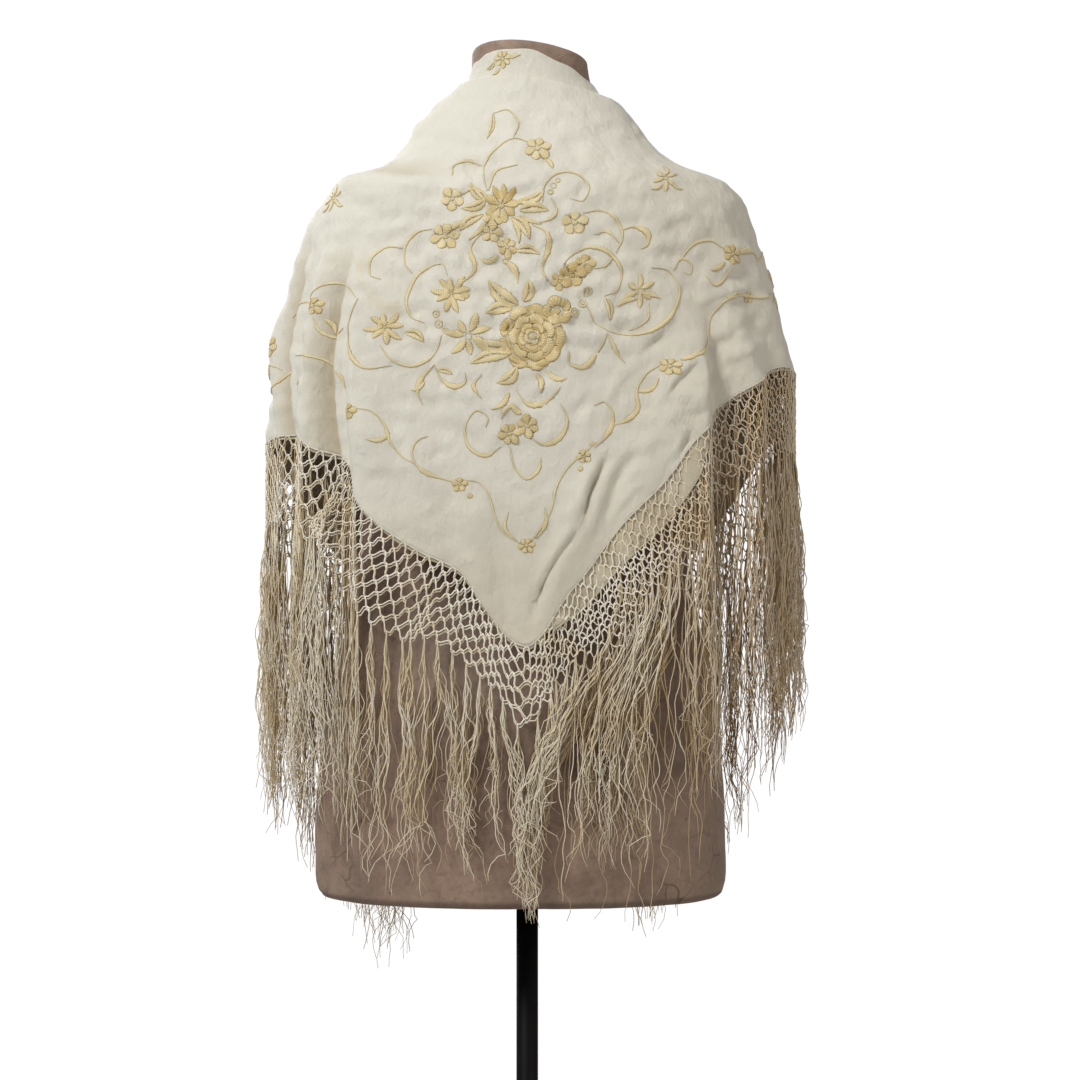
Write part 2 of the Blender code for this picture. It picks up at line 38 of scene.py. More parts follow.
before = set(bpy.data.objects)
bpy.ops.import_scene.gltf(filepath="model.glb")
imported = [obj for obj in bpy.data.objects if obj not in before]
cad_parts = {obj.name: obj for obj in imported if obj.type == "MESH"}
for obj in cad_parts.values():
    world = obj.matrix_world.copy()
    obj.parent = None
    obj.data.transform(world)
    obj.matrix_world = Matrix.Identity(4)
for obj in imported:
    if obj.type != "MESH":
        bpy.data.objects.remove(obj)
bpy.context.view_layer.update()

# Layers of the cloth, measured outwards from the drape
OUTER_MIDDLE = 0.0006
UNDER_MIDDLE = -0.0009
SILK_THICKNESS = 0.0005
OUTER_FACE = OUTER_MIDDLE + SILK_THICKNESS / 2
UNDER_FACE = UNDER_MIDDLE + SILK_THICKNESS / 2
LAYERS = {"outer": OUTER_MIDDLE, "under": UNDER_MIDDLE}
# A fold has its full depth from this share of its length on
FOLD_FULL = 0.75

# The stand and the top and base of the dress form, and the gap where two parts of the stand meet
FORM_BOTTOM = 0.630
FORM_TOP = 1.415
TOP_TILT = 0.006
POLE_RADIUS = 0.0102
FOOT_RADIUS = 0.180
FOOT_THICKNESS = 0.006
TOUCH = 0.0003

# The dress form: height, half width left and right, depth behind and in front, squareness of the section
FORM_SECTIONS = np.array([
    (0.630, 0.1940, 0.1820, 0.1090, 0.1060, 2.35),
    (0.648, 0.1980, 0.1860, 0.1130, 0.1090, 2.35),
    (0.700, 0.1975, 0.1855, 0.1165, 0.1110, 2.35),
    (0.760, 0.1930, 0.1810, 0.1150, 0.1100, 2.30),
    (0.820, 0.1830, 0.1730, 0.1060, 0.1080, 2.25),
    (0.900, 0.1660, 0.1580, 0.0900, 0.1050, 2.20),
    (0.980, 0.1550, 0.1490, 0.0840, 0.1030, 2.20),
    (1.070, 0.1630, 0.1590, 0.0930, 0.1080, 2.20),
    (1.150, 0.1800, 0.1780, 0.1080, 0.1170, 2.25),
    (1.210, 0.1920, 0.1920, 0.1150, 0.1170, 2.30),
    (1.250, 0.1950, 0.1950, 0.1120, 0.1080, 2.35),
    (1.280, 0.1730, 0.1750, 0.1030, 0.0960, 2.30),
    (1.300, 0.1390, 0.1410, 0.0940, 0.0860, 2.20),
    (1.318, 0.1100, 0.1140, 0.0850, 0.0780, 2.15),
    (1.336, 0.0940, 0.0980, 0.0755, 0.0705, 2.05),
    (1.352, 0.0800, 0.0840, 0.0665, 0.0640, 2.00),
    (1.366, 0.0680, 0.0720, 0.0600, 0.0590, 2.00),
    (1.380, 0.0575, 0.0635, 0.0555, 0.0548, 2.00),
    (1.392, 0.0540, 0.0600, 0.0535, 0.0530, 2.00),
    (1.405, 0.0520, 0.0580, 0.0525, 0.0522, 2.00),
    (1.415, 0.0515, 0.0575, 0.0522, 0.0520, 2.00),
])

# The drape, the inner face of the outer fall: the same columns
DRAPE_SECTIONS = np.array([
    (0.700, 0.2370, 0.2560, 0.1290, 0.1340, 2.30),
    (0.860, 0.2370, 0.2560, 0.1270, 0.1330, 2.30),
    (0.960, 0.2370, 0.2550, 0.1240, 0.1320, 2.30),
    (1.058, 0.2345, 0.2530, 0.1250, 0.1310, 2.30),
    (1.111, 0.2290, 0.2440, 0.1260, 0.1300, 2.30),
    (1.158, 0.2240, 0.2300, 0.1255, 0.1290, 2.30),
    (1.205, 0.2175, 0.2190, 0.1235, 0.1260, 2.30),
    (1.243, 0.2070, 0.2110, 0.1190, 0.1190, 2.30),
    (1.266, 0.1970, 0.2050, 0.1150, 0.1110, 2.30),
    (1.290, 0.1800, 0.1890, 0.1080, 0.1010, 2.25),
    (1.304, 0.1500, 0.1540, 0.1020, 0.0940, 2.20),
    (1.314, 0.1270, 0.1350, 0.0970, 0.0890, 2.15),
    (1.328, 0.1150, 0.1190, 0.0880, 0.0820, 2.10),
    (1.346, 0.1050, 0.1040, 0.0770, 0.0740, 2.05),
    (1.366, 0.0840, 0.0840, 0.0660, 0.0640, 2.00),
    (1.380, 0.0645, 0.0680, 0.0585, 0.0575, 2.00),
    (1.392, 0.0560, 0.0620, 0.0556, 0.0551, 2.00),
    (1.405, 0.0541, 0.0601, 0.0546, 0.0543, 2.00),
    (1.430, 0.0536, 0.0596, 0.0543, 0.0541, 2.00),
])

# The two front edges: height, angle of the left edge, angle of the right edge
FRONT_EDGES = np.array([
    (0.700, 160.0, 162.0),
    (0.900, 160.0, 162.0),
    (1.100, 158.0, 160.0),
    (1.200, 156.0, 157.0),
    (1.290, 149.0, 150.0),
    (1.346, 128.0, 128.0),
    (1.375, 113.0, 113.0),
    (1.430, 106.0, 106.0),
])

# The neck edge: across, height, height that the neck fold stands above it
NECK_LINE = np.array([
    (-1.00, 1.372, 0.004),
    (-0.78, 1.378, 0.006),
    (-0.56, 1.382, 0.009),
    (-0.40, 1.384, 0.018),
    (-0.27, 1.384, 0.024),
    (-0.14, 1.384, 0.028),
    (0.00, 1.382, 0.029),
    (0.14, 1.379, 0.024),
    (0.29, 1.375, 0.018),
    (0.42, 1.371, 0.013),
    (0.56, 1.367, 0.008),
    (0.78, 1.366, 0.006),
    (1.00, 1.368, 0.004),
])

# How much higher than on the solid the neck fold's upper edge runs, as in the photo: across, rise
COLLAR_RISE = np.array([
    (-1.00, 0.0005),
    (-0.80, 0.0060),
    (-0.62, 0.0150),
    (-0.45, 0.0110),
    (-0.28, 0.0042),
    (-0.12, 0.0010),
    (0.00, 0.0008),
    (0.12, 0.0042),
    (0.29, 0.0078),
    (0.42, 0.0115),
    (0.56, 0.0145),
    (0.78, 0.0095),
    (1.00, 0.0005),
])

# The hem: across, height of the outer fall's hem, how far the under fall's hem hangs below it
HEM_LINE = np.array([
    (-1.000, 0.830, 0.004),
    (-0.860, 0.925, 0.004),
    (-0.720, 1.005, 0.005),
    (-0.600, 1.042, 0.006),
    (-0.460, 1.056, 0.007),
    (-0.340, 1.057, 0.007),
    (-0.310, 1.045, 0.006),
    (-0.240, 1.030, 0.006),
    (-0.210, 0.998, 0.006),
    (-0.180, 0.977, 0.005),
    (-0.125, 0.951, 0.004),
    (-0.072, 0.933, 0.004),
    (-0.040, 0.899, 0.004),
    (-0.012, 0.872, 0.004),
    (0.000, 0.867, 0.004),
    (0.012, 0.877, 0.005),
    (0.032, 0.906, 0.019),
    (0.060, 0.934, 0.030),
    (0.100, 0.974, 0.035),
    (0.160, 1.018, 0.038),
    (0.190, 1.046, 0.036),
    (0.225, 1.068, 0.014),
    (0.300, 1.095, 0.006),
    (0.440, 1.120, 0.006),
    (0.580, 1.120, 0.006),
    (0.720, 1.060, 0.005),
    (0.860, 0.970, 0.004),
    (1.000, 0.872, 0.004),
])

# Folds of the drape: across at the hem, across at the upper end, height of the upper end, half widths towards
# the back and towards the front, depth outwards, sideways lean of the crest towards the front
FOLDS = np.array([
    (-0.905, -0.820, 1.310, 0.045, 0.045, 0.012, 0.000),
    (-0.790, -0.740, 1.300, 0.050, 0.035, 0.015, 0.004),
    (-0.660, -0.640, 1.290, 0.055, 0.030, 0.014, 0.004),
    (-0.540, -0.520, 1.270, 0.060, 0.030, 0.009, 0.002),
    (-0.435, -0.440, 1.240, 0.035, 0.035, 0.006, 0.000),
    (-0.323, -0.345, 1.290, 0.070, 0.025, 0.019, 0.004),
    (-0.206, -0.260, 1.260, 0.072, 0.024, 0.019, 0.004),
    (-0.125, -0.160, 1.120, 0.045, 0.040, 0.004, 0.000),
    (-0.052, -0.075, 1.060, 0.030, 0.030, 0.005, 0.000),
    (0.012, 0.092, 1.060, 0.022, 0.034, 0.008, 0.000),
    (0.120, 0.190, 1.130, 0.034, 0.030, 0.006, 0.000),
    (0.206, 0.235, 1.180, 0.060, 0.026, 0.018, 0.003),
    (0.330, 0.320, 1.230, 0.045, 0.040, 0.009, 0.000),
    (0.460, 0.440, 1.260, 0.055, 0.035, 0.010, 0.003),
    (0.600, 0.580, 1.280, 0.055, 0.032, 0.012, 0.004),
    (0.720, 0.690, 1.290, 0.050, 0.032, 0.014, 0.004),
    (0.835, 0.780, 1.300, 0.048, 0.035, 0.014, 0.003),
    (0.935, 0.850, 1.310, 0.040, 0.040, 0.010, 0.000),
])

# Creases laid on the drape, in millimetres: girth and height of the start, girth and height of the end,
# half width on the left and on the right of the way from start to end, depth, outwards when positive
CREASES = np.array([
    (70, 1036, 47, 975, 2.0, 12, 2.6),
    (47, 975, -3, 880, 2.0, 12, 2.2),
    (72, 1040, 49, 968, 4.5, 2.0, -3.6),
    (50, 978, 0, 882, 4.5, 2.0, -2.6),
    (98, 1062, 52, 952, 6, 10, 1.8),
    (84, 1046, 34, 944, 5, 7, -1.5),
    (122, 1068, 82, 990, 5, 8, 1.7),
    (108, 1052, 68, 972, 4, 6, -1.4),
    (147, 1122, 119, 1089, 2.4, 8, 1.5),
    (151, 1121, 123, 1087, 6, 2.4, -1.9),
    (121, 1091, 144, 1080, 2.6, 6, -2.0),
    (168, 1118, 153, 1080, 2.6, 9, 1.5),
    (172, 1117, 157, 1079, 6, 2.6, -2.0),
    (129, 1077, 156, 1074, 2.6, 5, -1.6),
    (124, 1068, 143, 1058, 2.6, 5, -1.7),
    (139, 1061, 128, 1034, 2.6, 7, 1.6),
    (143, 1060, 132, 1033, 6, 2.6, -2.0),
    (118, 1048, 70, 1002, 6, 5, -1.5),
    (103, 1014, 76, 979, 3, 5, 1.5),
    (192, 1150, 150, 1132, 4, 8, 1.4),
    (196, 1142, 154, 1124, 7, 4, -1.5),
    (222, 1192, 150, 1170, 4, 9, 1.6),
    (228, 1180, 160, 1158, 8, 4, -1.5),
    (236, 1140, 176, 1118, 4, 8, 1.4),
    (232, 1164, 182, 1142, 7, 4, -1.3),
    (140, 1168, 106, 1134, 4, 8, 1.5),
    (134, 1152, 100, 1120, 7, 4, -1.4),
    (96, 1120, 70, 1076, 4, 8, 1.4),
    (62, 1102, 40, 1056, 7, 4, -1.3),
    (200, 1262, 120, 1205, 12, 14, 1.4),
    (170, 1268, 96, 1222, 8, 12, 1.3),
    (150, 1292, 70, 1240, 9, 12, 1.3),
    (118, 1302, 52, 1262, 8, 11, 1.3),
    (180, 1244, 108, 1186, 7, 10, -1.2),
    (135, 1280, 66, 1230, 6, 8, -1.0),
    (96, 1322, 34, 1284, 8, 10, 1.0),
    (72, 1346, 22, 1316, 7, 10, 1.2),
    (236, 1235, 150, 1180, 12, 14, 1.3),
    (222, 1212, 160, 1160, 7, 9, -1.1),
    (-210, 1308, -76, 1278, 4, 17, 4.4),
    (-206, 1320, -72, 1289, 11, 3, -3.8),
    (-86, 1289, -36, 1297, 9, 5, -1.8),
    (-159, 1225, -158, 975, 3.0, 16, -8.5),
    (-196, 1215, -203, 985, 7, 7, 3.2),
    (-224, 1240, -222, 1010, 4, 13, -6.5),
    (-268, 1180, -238, 1052, 6, 9, 3.2),
    (-300, 1150, -262, 1078, 5, 8, -2.2),
    (172, 1170, 168, 1040, 14, 5, -2.8),
    (-60, 1300, -20, 1282, 7, 9, -1.4),
    (-96, 1330, -40, 1352, 10, 12, 1.2),
    (-70, 1290, -28, 1230, 12, 12, 1.1),
    (-150, 1270, -118, 1160, 12, 14, 1.2),
    (-92, 1262, -80, 1160, 10, 12, -1.0),
    (-132, 1120, -118, 1010, 12, 9, 1.6),
    (-112, 1100, -102, 990, 9, 12, -1.3),
    (-90, 1060, -84, 975, 9, 12, 1.4),
    (-66, 1020, -60, 950, 7, 10, -1.1),
    (-45, 1010, -30, 905, 9, 10, 1.2),
    (-22, 990, -14, 890, 7, 9, -1.0),
    (20, 1000, -2, 905, 9, 12, 1.0),
    (-14, 1110, -24, 1040, 9, 9, 0.9),
    (24, 1125, 12, 1050, 8, 10, -0.9),
    (-36, 1210, -2, 1196, 7, 8, -1.4),
    (-12, 1196, 42, 1208, 6, 7, 1.0),
    (20, 1222, 62, 1206, 6, 8, -1.4),
    (-48, 1258, 18, 1276, 7, 8, -1.2),
    (-60, 1178, -28, 1168, 6, 8, 0.9),
    (-165, 1215, -158, 1080, 8, 14, 1.4),
    (-184, 1235, -188, 1090, 12, 8, 1.3),
    (-214, 1255, -220, 1130, 9, 12, -1.4),
    (-235, 1240, -242, 1080, 12, 9, 1.5),
    (-172, 1172, -150, 1130, 7, 9, -1.2),
    (-262, 1250, -276, 1100, 9, 13, 1.8),
    (-300, 1262, -318, 1090, 10, 12, -1.6),
    (-335, 1270, -352, 1060, 12, 10, 1.8),
    (-380, 1282, -400, 1050, 11, 14, -1.5),
    (-420, 1290, -452, 1010, 12, 10, 1.8),
    (-470, 1296, -500, 980, 12, 12, -1.4),
    (-505, 1300, -545, 930, 10, 12, 1.6),
    (262, 1262, 268, 1140, 10, 13, 1.7),
    (300, 1258, 312, 1150, 9, 12, -1.6),
    (330, 1268, 350, 1130, 12, 10, 1.9),
    (372, 1276, 398, 1110, 10, 14, -1.5),
    (420, 1290, 452, 1080, 12, 10, 1.8),
    (468, 1296, 505, 1020, 11, 12, -1.5),
    (510, 1300, 560, 960, 10, 12, 1.7),
    (-290, 1180, -236, 1120, 8, 10, 1.4),
    (-360, 1200, -310, 1130, 8, 9, -1.2),
    (290, 1220, 246, 1170, 8, 10, 1.3),
    (395, 1205, 340, 1150, 8, 9, 1.4),
    (470, 1180, 420, 1120, 8, 10, -1.3),
    (-440, 1160, -395, 1100, 8, 10, 1.4),
])


def smooth_column(table, column, at):
    """A table's column read anywhere: cubic pieces through the rows, with harmonic mean slopes, so that
    the curve never overshoots a row."""
    known, values = table[:, 0], table[:, column]
    gaps = np.diff(known)
    slopes = np.diff(values) / gaps
    before, after = slopes[:-1], slopes[1:]
    same_way = before * after > 0
    share = np.where(same_way, before * after, 0.0)
    middle = np.where(same_way, 2 * share / np.where(same_way, before + after, 1.0), 0.0)
    tangents = np.concatenate([slopes[:1], middle, slopes[-1:]])
    at = np.clip(np.asarray(at, float), known[0], known[-1])
    row = np.clip(np.searchsorted(known, at, side="right") - 1, 0, len(gaps) - 1)
    gap = gaps[row]
    t = (at - known[row]) / gap
    rise = gap * tangents[row] * t * (1 - t) ** 2 - gap * tangents[row + 1] * t**2 * (1 - t)
    return values[row] * (1 + 2 * t) * (1 - t) ** 2 + values[row + 1] * t**2 * (3 - 2 * t) + rise


def smooth_step(low, high, at):
    """0 up to low, 1 from high on, and 3t^2 - 2t^3 between."""
    t = np.clip((at - low) / (high - low), 0.0, 1.0)
    return t * t * (3 - 2 * t)


def unit(vectors):
    """Vectors divided by their lengths."""
    return vectors / np.maximum(np.linalg.norm(vectors, axis=-1, keepdims=True), 1e-12)


def section_point(left, right, back, front, square, angle):
    """A rounded section: each side's half size times sine or cosine to the power 2 / square."""
    sine, cosine = np.sin(angle), np.cos(angle)
    power = 2 / square
    x = np.where(sine < 0, -left, right) * np.abs(sine) ** power
    y = np.where(cosine > 0, -back, front) * np.abs(cosine) ** power
    return np.stack([x, y], axis=-1)


def columns(table, at):
    """Every column of a table, after its first, read at the same places."""
    return [smooth_column(table, c, at) for c in range(1, table.shape[1])]


def square_to(way):
    """A direction in the plane turned left by a right angle."""
    return np.stack([-way[..., 1], way[..., 0]], axis=-1)


def drape_point(across, height):
    """The drape without folds: the section of that height at the angle that across is of the front
    edge's, with the outward and sideways directions, which come from points a little way across on each
    side."""
    edge_left, edge_right = columns(FRONT_EDGES, height)
    left, right, back, front, square = columns(DRAPE_SECTIONS, height)

    def at(shift):
        place = across + shift
        angle = np.radians(place * np.where(place < 0, edge_left, edge_right))
        return section_point(left, right, back, front, square, angle)

    beside = 0.004
    point, sideways = at(0.0), unit(at(beside) - at(-beside))
    return point, -square_to(sideways), sideways


def fold_shape(across, height, hem):
    """How far the folds push outwards and sideways. Each is a bell across, exp(-(away / width)^2), times
    a smooth step of how far down its length the point lies."""
    outward, sideways = np.zeros_like(height), np.zeros_like(height)
    for at_hem, at_top, top, back_width, front_width, depth, lean in FOLDS:
        fall = np.clip((top - height) / np.maximum(top - hem, 0.01), 0.0, 1.0)
        side = 1.0 if at_hem >= 0 else -1.0
        away = (across - at_top - (at_hem - at_top) * fall) * side
        crest = np.exp(-((away / np.where(away < 0, back_width, front_width)) ** 2))
        growth = smooth_step(0.0, FOLD_FULL, fall)
        outward += depth * growth * crest
        sideways += side * lean * growth * crest
    return outward, sideways


def between(table, row, column):
    """A table read between its rows and columns: the four entries round the place, weighted by nearness."""
    row = np.clip(row, 0, table.shape[0] - 1.001)
    column = np.clip(column, 0, table.shape[1] - 1.001)
    r, c = row.astype(int), column.astype(int)
    a, b = row - r, column - c
    if table.ndim > 2:
        a, b = a[..., None], b[..., None]
    upper = table[r, c] * (1 - b) + table[r, c + 1] * b
    lower = table[r + 1, c] * (1 - b) + table[r + 1, c + 1] * b
    return upper * (1 - a) + lower * a


# Tables that turn across into girth and back, one row for each height
ROW_HEIGHTS = np.linspace(0.60, 1.44, 85)
ROW_ACROSS = np.linspace(-1.04, 1.04, 521)
ROW_GIRTHS = np.linspace(-0.72, 0.72, 577)


def girth_tables():
    """For each height, the length along the section from across 0, and the across that has each length."""
    across, height = np.meshgrid(ROW_ACROSS, ROW_HEIGHTS)
    flat, _, _ = drape_point(across, height)
    steps = np.linalg.norm(np.diff(flat, axis=1), axis=-1)
    lengths = np.concatenate([np.zeros((len(steps), 1)), np.cumsum(steps, axis=1)], axis=1)
    lengths -= lengths[:, len(ROW_ACROSS) // 2, None]
    places = np.array([np.interp(ROW_GIRTHS, row, ROW_ACROSS) for row in lengths])
    return lengths, places


GIRTH_OF, ACROSS_OF = girth_tables()


def row_of(height):
    return (height - ROW_HEIGHTS[0]) / (ROW_HEIGHTS[1] - ROW_HEIGHTS[0])


def girth_at(across, height):
    """The girth of a place given by across and height."""
    return between(GIRTH_OF, row_of(height), (across - ROW_ACROSS[0]) / (ROW_ACROSS[1] - ROW_ACROSS[0]))


def across_at(girth, height):
    """The across of a place given by girth and height."""
    return between(ACROSS_OF, row_of(height), (girth - ROW_GIRTHS[0]) / (ROW_GIRTHS[1] - ROW_GIRTHS[0]))


def ripples(spots, seed, sizes, depth):
    """A sum of sine waves of random direction and phase over spots, with wave lengths spread over sizes
    and each wave's height in proportion to its length; the whole has about the depth given."""
    random = np.random.default_rng(seed)
    count, ways = 12, spots.shape[-1]
    total = np.zeros(spots.shape[:-1])
    for length in np.geomspace(sizes[0], sizes[1], count):
        way = unit(random.normal(size=ways))
        bend = unit(random.normal(size=ways))
        warp = 0.9 * np.sin(spots @ bend * (2 * np.pi / (2.3 * length)) + random.uniform(0, 6.28))
        wave = np.sin(spots @ way * (2 * np.pi / length) + warp + random.uniform(0, 6.28))
        total += length / sizes[1] * wave
    return depth * total / 2.2


# A crease bows by a share of its length. It grows over the first stretch of it, fades over the last, and
# shows deeper than its row says. Painted shade darkens creases deeper than the first depth, in full from
# the second on.
CREASE_BOW = 0.06
CREASE_GROWS = (-0.06, 0.30)
CREASE_FADES = (1.06, 0.70)
CREASE_GAIN = 1.5
PAINTED_SHADE_FROM = 3.4 * MM
PAINTED_SHADE_FULL = 6.5 * MM
# Ripples over all of the cloth and finer ones round the worked bouquet: shortest and longest wave, depth
SOFT_WAVES, SOFT_DEPTH = (0.016, 0.085), 0.0014
WORKED_WAVES, WORKED_DEPTH = (0.014, 0.036), 0.0019
WORKED_HEIGHT = 1.19
# The room always kept between the drape and the dress form, and how gradually the drape comes to that limit
LEAST_ROOM = 0.0026
SOFT_STOP = 0.0008


def crease_bells(girth, height):
    """Each crease's depth and its strength at the places: a bell across its line, with its own width on
    each side, that fades in and out along it."""
    spots = np.stack([girth, height], axis=-1)
    for s0, z0, s1, z1, left, right, depth in CREASES * MM:
        start, way = np.array([s0, z0]), np.array([s1 - s0, z1 - z0])
        length = np.hypot(*way)
        way /= length
        away = spots - start
        along = (away @ way) / length
        side = away @ square_to(way) + CREASE_BOW * length * np.sin(np.pi * along)
        bell = np.exp(-((side / np.where(side > 0, left, right)) ** 2))
        yield depth, bell * smooth_step(*CREASE_GROWS, along) * smooth_step(*CREASE_FADES, along)


def crease_shade(girth, height):
    """How much painted shade darkens the cloth at the bottom of its deeper creases, 0 to 1."""
    dust_and_shade = np.zeros_like(girth)
    for depth, strength in crease_bells(girth, height):
        if depth < -PAINTED_SHADE_FROM:
            dust_and_shade += strength * min(-depth / PAINTED_SHADE_FULL, 1.0)
    return np.clip(dust_and_shade, 0, 1)


def crease_depth(girth, height):
    """The creases' push outwards, with ripples of a few tenths of a millimetre to a millimetre over all
    of them, and finer ones that are strongest round the worked bouquet, by a bell."""
    spots = np.stack([girth, height], axis=-1)
    push = sum(CREASE_GAIN * depth * strength for depth, strength in crease_bells(girth, height))
    slanted = spots @ np.array([(0.9, -0.4), (0.3, 0.6)])
    push += ripples(slanted, 5, SOFT_WAVES, SOFT_DEPTH)
    worked_round = np.exp(-((girth / 0.11) ** 2 + ((height - WORKED_HEIGHT) / 0.12) ** 2))
    push += (0.30 + worked_round) * ripples(spots, 9, WORKED_WAVES, WORKED_DEPTH)
    return push


def clearance(height):
    """How far the drape may sink before the under layer comes near the dress form."""
    rooms = [smooth_column(DRAPE_SECTIONS, c, height) - smooth_column(FORM_SECTIONS, c, height)
             for c in (1, 2, 3, 4)]
    return np.maximum(np.min(rooms, axis=0) - LEAST_ROOM, 0.0)


def drape(across, height):
    """The folded and creased drape, as points: the section, pushed outwards by folds and creases and
    sideways by the folds' lean, but never closer to the form than its clearance."""
    hem = smooth_column(HEM_LINE, 1, across)
    point, outward, sideways = drape_point(across, height)
    push, lean = fold_shape(across, height, hem)
    push = push + crease_depth(girth_at(across, height), height)
    floor = -clearance(height)
    push = (push + floor + np.sqrt((push - floor) ** 2 + SOFT_STOP**2)) / 2
    flat = point + outward * push[..., None] + sideways * lean[..., None]
    return np.concatenate([flat, height[..., None]], axis=-1)


def cloth_at(across, height, offset):
    """Points at an offset from the drape along its normal, which is the cross product of its two slopes."""
    step = 0.0015
    spot = drape(across, height)
    along = drape(across + step, height) - drape(across - step, height)
    up = drape(across, height + step) - drape(across, height - step)
    return spot + unit(np.cross(along, up)) * np.asarray(offset)[..., None]


def grid_faces(rows, columns_in_row, closed=False):
    """Four-cornered faces between neighbours of a grid of points. A closed grid's last column joins its
    first."""
    index = np.arange(rows * columns_in_row).reshape(rows, columns_in_row)
    if closed:
        index = np.concatenate([index, index[:, :1]], axis=1)
    corners = (index[:-1, :-1], index[:-1, 1:], index[1:, 1:], index[1:, :-1])
    return np.stack([c.ravel() for c in corners], axis=1)


def add_piece(name, points, faces, material, uv=None, tone=None):
    """Arrays as one smooth mesh that rides on the form. uv has a pair and tone a number for each point."""
    mesh = bpy.data.meshes.new(name)
    points = np.asarray(points, float).reshape(-1, 3)
    mesh.vertices.add(len(points))
    mesh.vertices.foreach_set("co", points.ravel())
    corners = np.concatenate([f.ravel() for f in faces])
    sizes = np.concatenate([np.full(len(f), f.shape[1]) for f in faces])
    starts = np.concatenate([[0], np.cumsum(sizes)[:-1]])
    mesh.loops.add(len(corners))
    mesh.loops.foreach_set("vertex_index", corners.astype(np.int32))
    mesh.polygons.add(len(sizes))
    mesh.polygons.foreach_set("loop_start", starts.astype(np.int32))
    if uv is not None:
        layer = mesh.uv_layers.new(name="UV")
        layer.uv.foreach_set("vector", np.asarray(uv, float).reshape(-1, 2)[corners].ravel())
    if tone is not None:
        carried = mesh.attributes.new("tone", "FLOAT", "POINT")
        carried.data.foreach_set("value", np.asarray(tone, float).ravel())
    mesh.update(calc_edges=True)
    mesh.validate()
    mesh.shade_smooth()
    mesh.materials.append(material)
    piece = bpy.data.objects.new(name, mesh)
    bpy.context.scene.collection.objects.link(piece)
    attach(piece, "root")
    return piece


def circle(count):
    """Even steps all round, as pairs of cosine and sine."""
    angle = np.arange(count) * 2 * np.pi / count
    return np.stack([np.cos(angle), np.sin(angle)], axis=-1)


def fan(middle, first, count, upwards):
    """Triangles between a middle point and a ring of count points that starts at first."""
    here = np.arange(count) + first
    beside = np.roll(here, -1)
    return np.stack([np.full(count, middle), *((here, beside) if upwards else (beside, here))], axis=1)


def tubes(paths, radii, sides, outward):
    """Tubes round many paths at once. At each point of a path a ring stands square to the path's slope,
    its first spoke along slope x outward. Returns points, faces and, for each point, the path's
    number."""
    count, length = paths.shape[:2]
    slope = unit(np.gradient(paths, axis=1))
    first = unit(np.cross(slope, outward))
    second = np.cross(slope, first)
    cosine, sine = circle(sides).T[..., None]
    spokes = first[:, :, None] * cosine + second[:, :, None] * sine
    points = paths[:, :, None] + spokes * radii[:, :, None, None]
    each = length * sides
    walls = grid_faces(length, sides, closed=True)[:, ::-1]
    near_end = np.arange(sides)
    ends = np.stack([near_end, (near_end + each - sides)[::-1]])
    start = (np.arange(count) * each)[:, None, None]
    which = np.repeat(np.arange(count), each)
    return points.reshape(-1, 3), [(walls + start).reshape(-1, 4), (ends + start).reshape(-1, sides)], which


def column_places(count):
    """Where the cloth's columns go: even steps of across at the sides, about half as long on the back."""
    fine = np.linspace(-1, 1, 3001)
    weight = 1.0 + 0.9 * (smooth_step(-0.62, -0.50, fine) - smooth_step(0.50, 0.62, fine))
    total = np.concatenate([[0.0], np.cumsum((weight[1:] + weight[:-1]) / 2)])
    return np.interp(np.linspace(0, total[-1], count), total, fine)


def cloth_sheet(name, heights, offsets, across, material):
    """An open sheet of cloth over rows of heights and columns of across, at an offset from the drape for
    each point, given its thickness by Solidify on both sides of the sheet. UV is girth and height in
    metres, tone how much painted shade lies in the creases."""
    places = np.broadcast_to(across, heights.shape)
    points = cloth_at(places, heights, offsets)
    faces = grid_faces(*heights.shape)[:, ::-1]
    girths = girth_at(places, heights)
    uv = np.stack([girths, heights], axis=-1)
    piece = add_piece(name, points, [faces], material, uv=uv, tone=crease_shade(girths, heights))
    wall = piece.modifiers.new("cloth_thickness", "SOLIDIFY")
    wall.thickness = SILK_THICKNESS
    wall.offset = 0.0
    wall.use_even_offset = False
    return piece


def neck_and_hem(across):
    """The heights of the neck edge and of the outer hem."""
    return smooth_column(NECK_LINE, 1, across), smooth_column(HEM_LINE, 1, across)


def build_outer_fall(material):
    """The outer fall: rows from the neck edge down to the hem, with a rolled upper edge. Near the neck
    the sheet stands proud of the drape, and its last rows turn over inwards along a half circle."""
    across = column_places(326)
    shares = np.concatenate([np.linspace(0, 0.10, 16), np.linspace(0.10, 1.0, 124)[1:]])[:, None]
    neck, hem = neck_and_hem(across)
    heights = neck + (hem - neck) * shares
    proud, roll = 0.0036, 0.0020
    offsets = OUTER_MIDDLE + proud * (1 - smooth_step(0.0, 0.024, neck - heights))
    turn = np.linspace(np.pi, 0, 7)[:-1, None]
    over = neck + roll * np.sin(turn)
    under = OUTER_MIDDLE + proud - roll * (1 - np.cos(turn)) + np.zeros_like(over)
    heights, offsets = np.concatenate([over, heights]), np.concatenate([under, offsets])
    return cloth_sheet("shawl_outer_fall", heights, offsets, across, material)


def build_under_fall(material):
    """The lower part of the under fall, from a share of the way down behind the outer one to its own
    hem."""
    across, hidden = column_places(300), 0.79
    neck, hem = neck_and_hem(across)
    top = neck + (hem - neck) * hidden
    heights = top + (hem - under_drop(across) - top) * np.linspace(0, 1, 34)[:, None]
    return cloth_sheet("shawl_under_layer", heights, UNDER_MIDDLE, across, material)


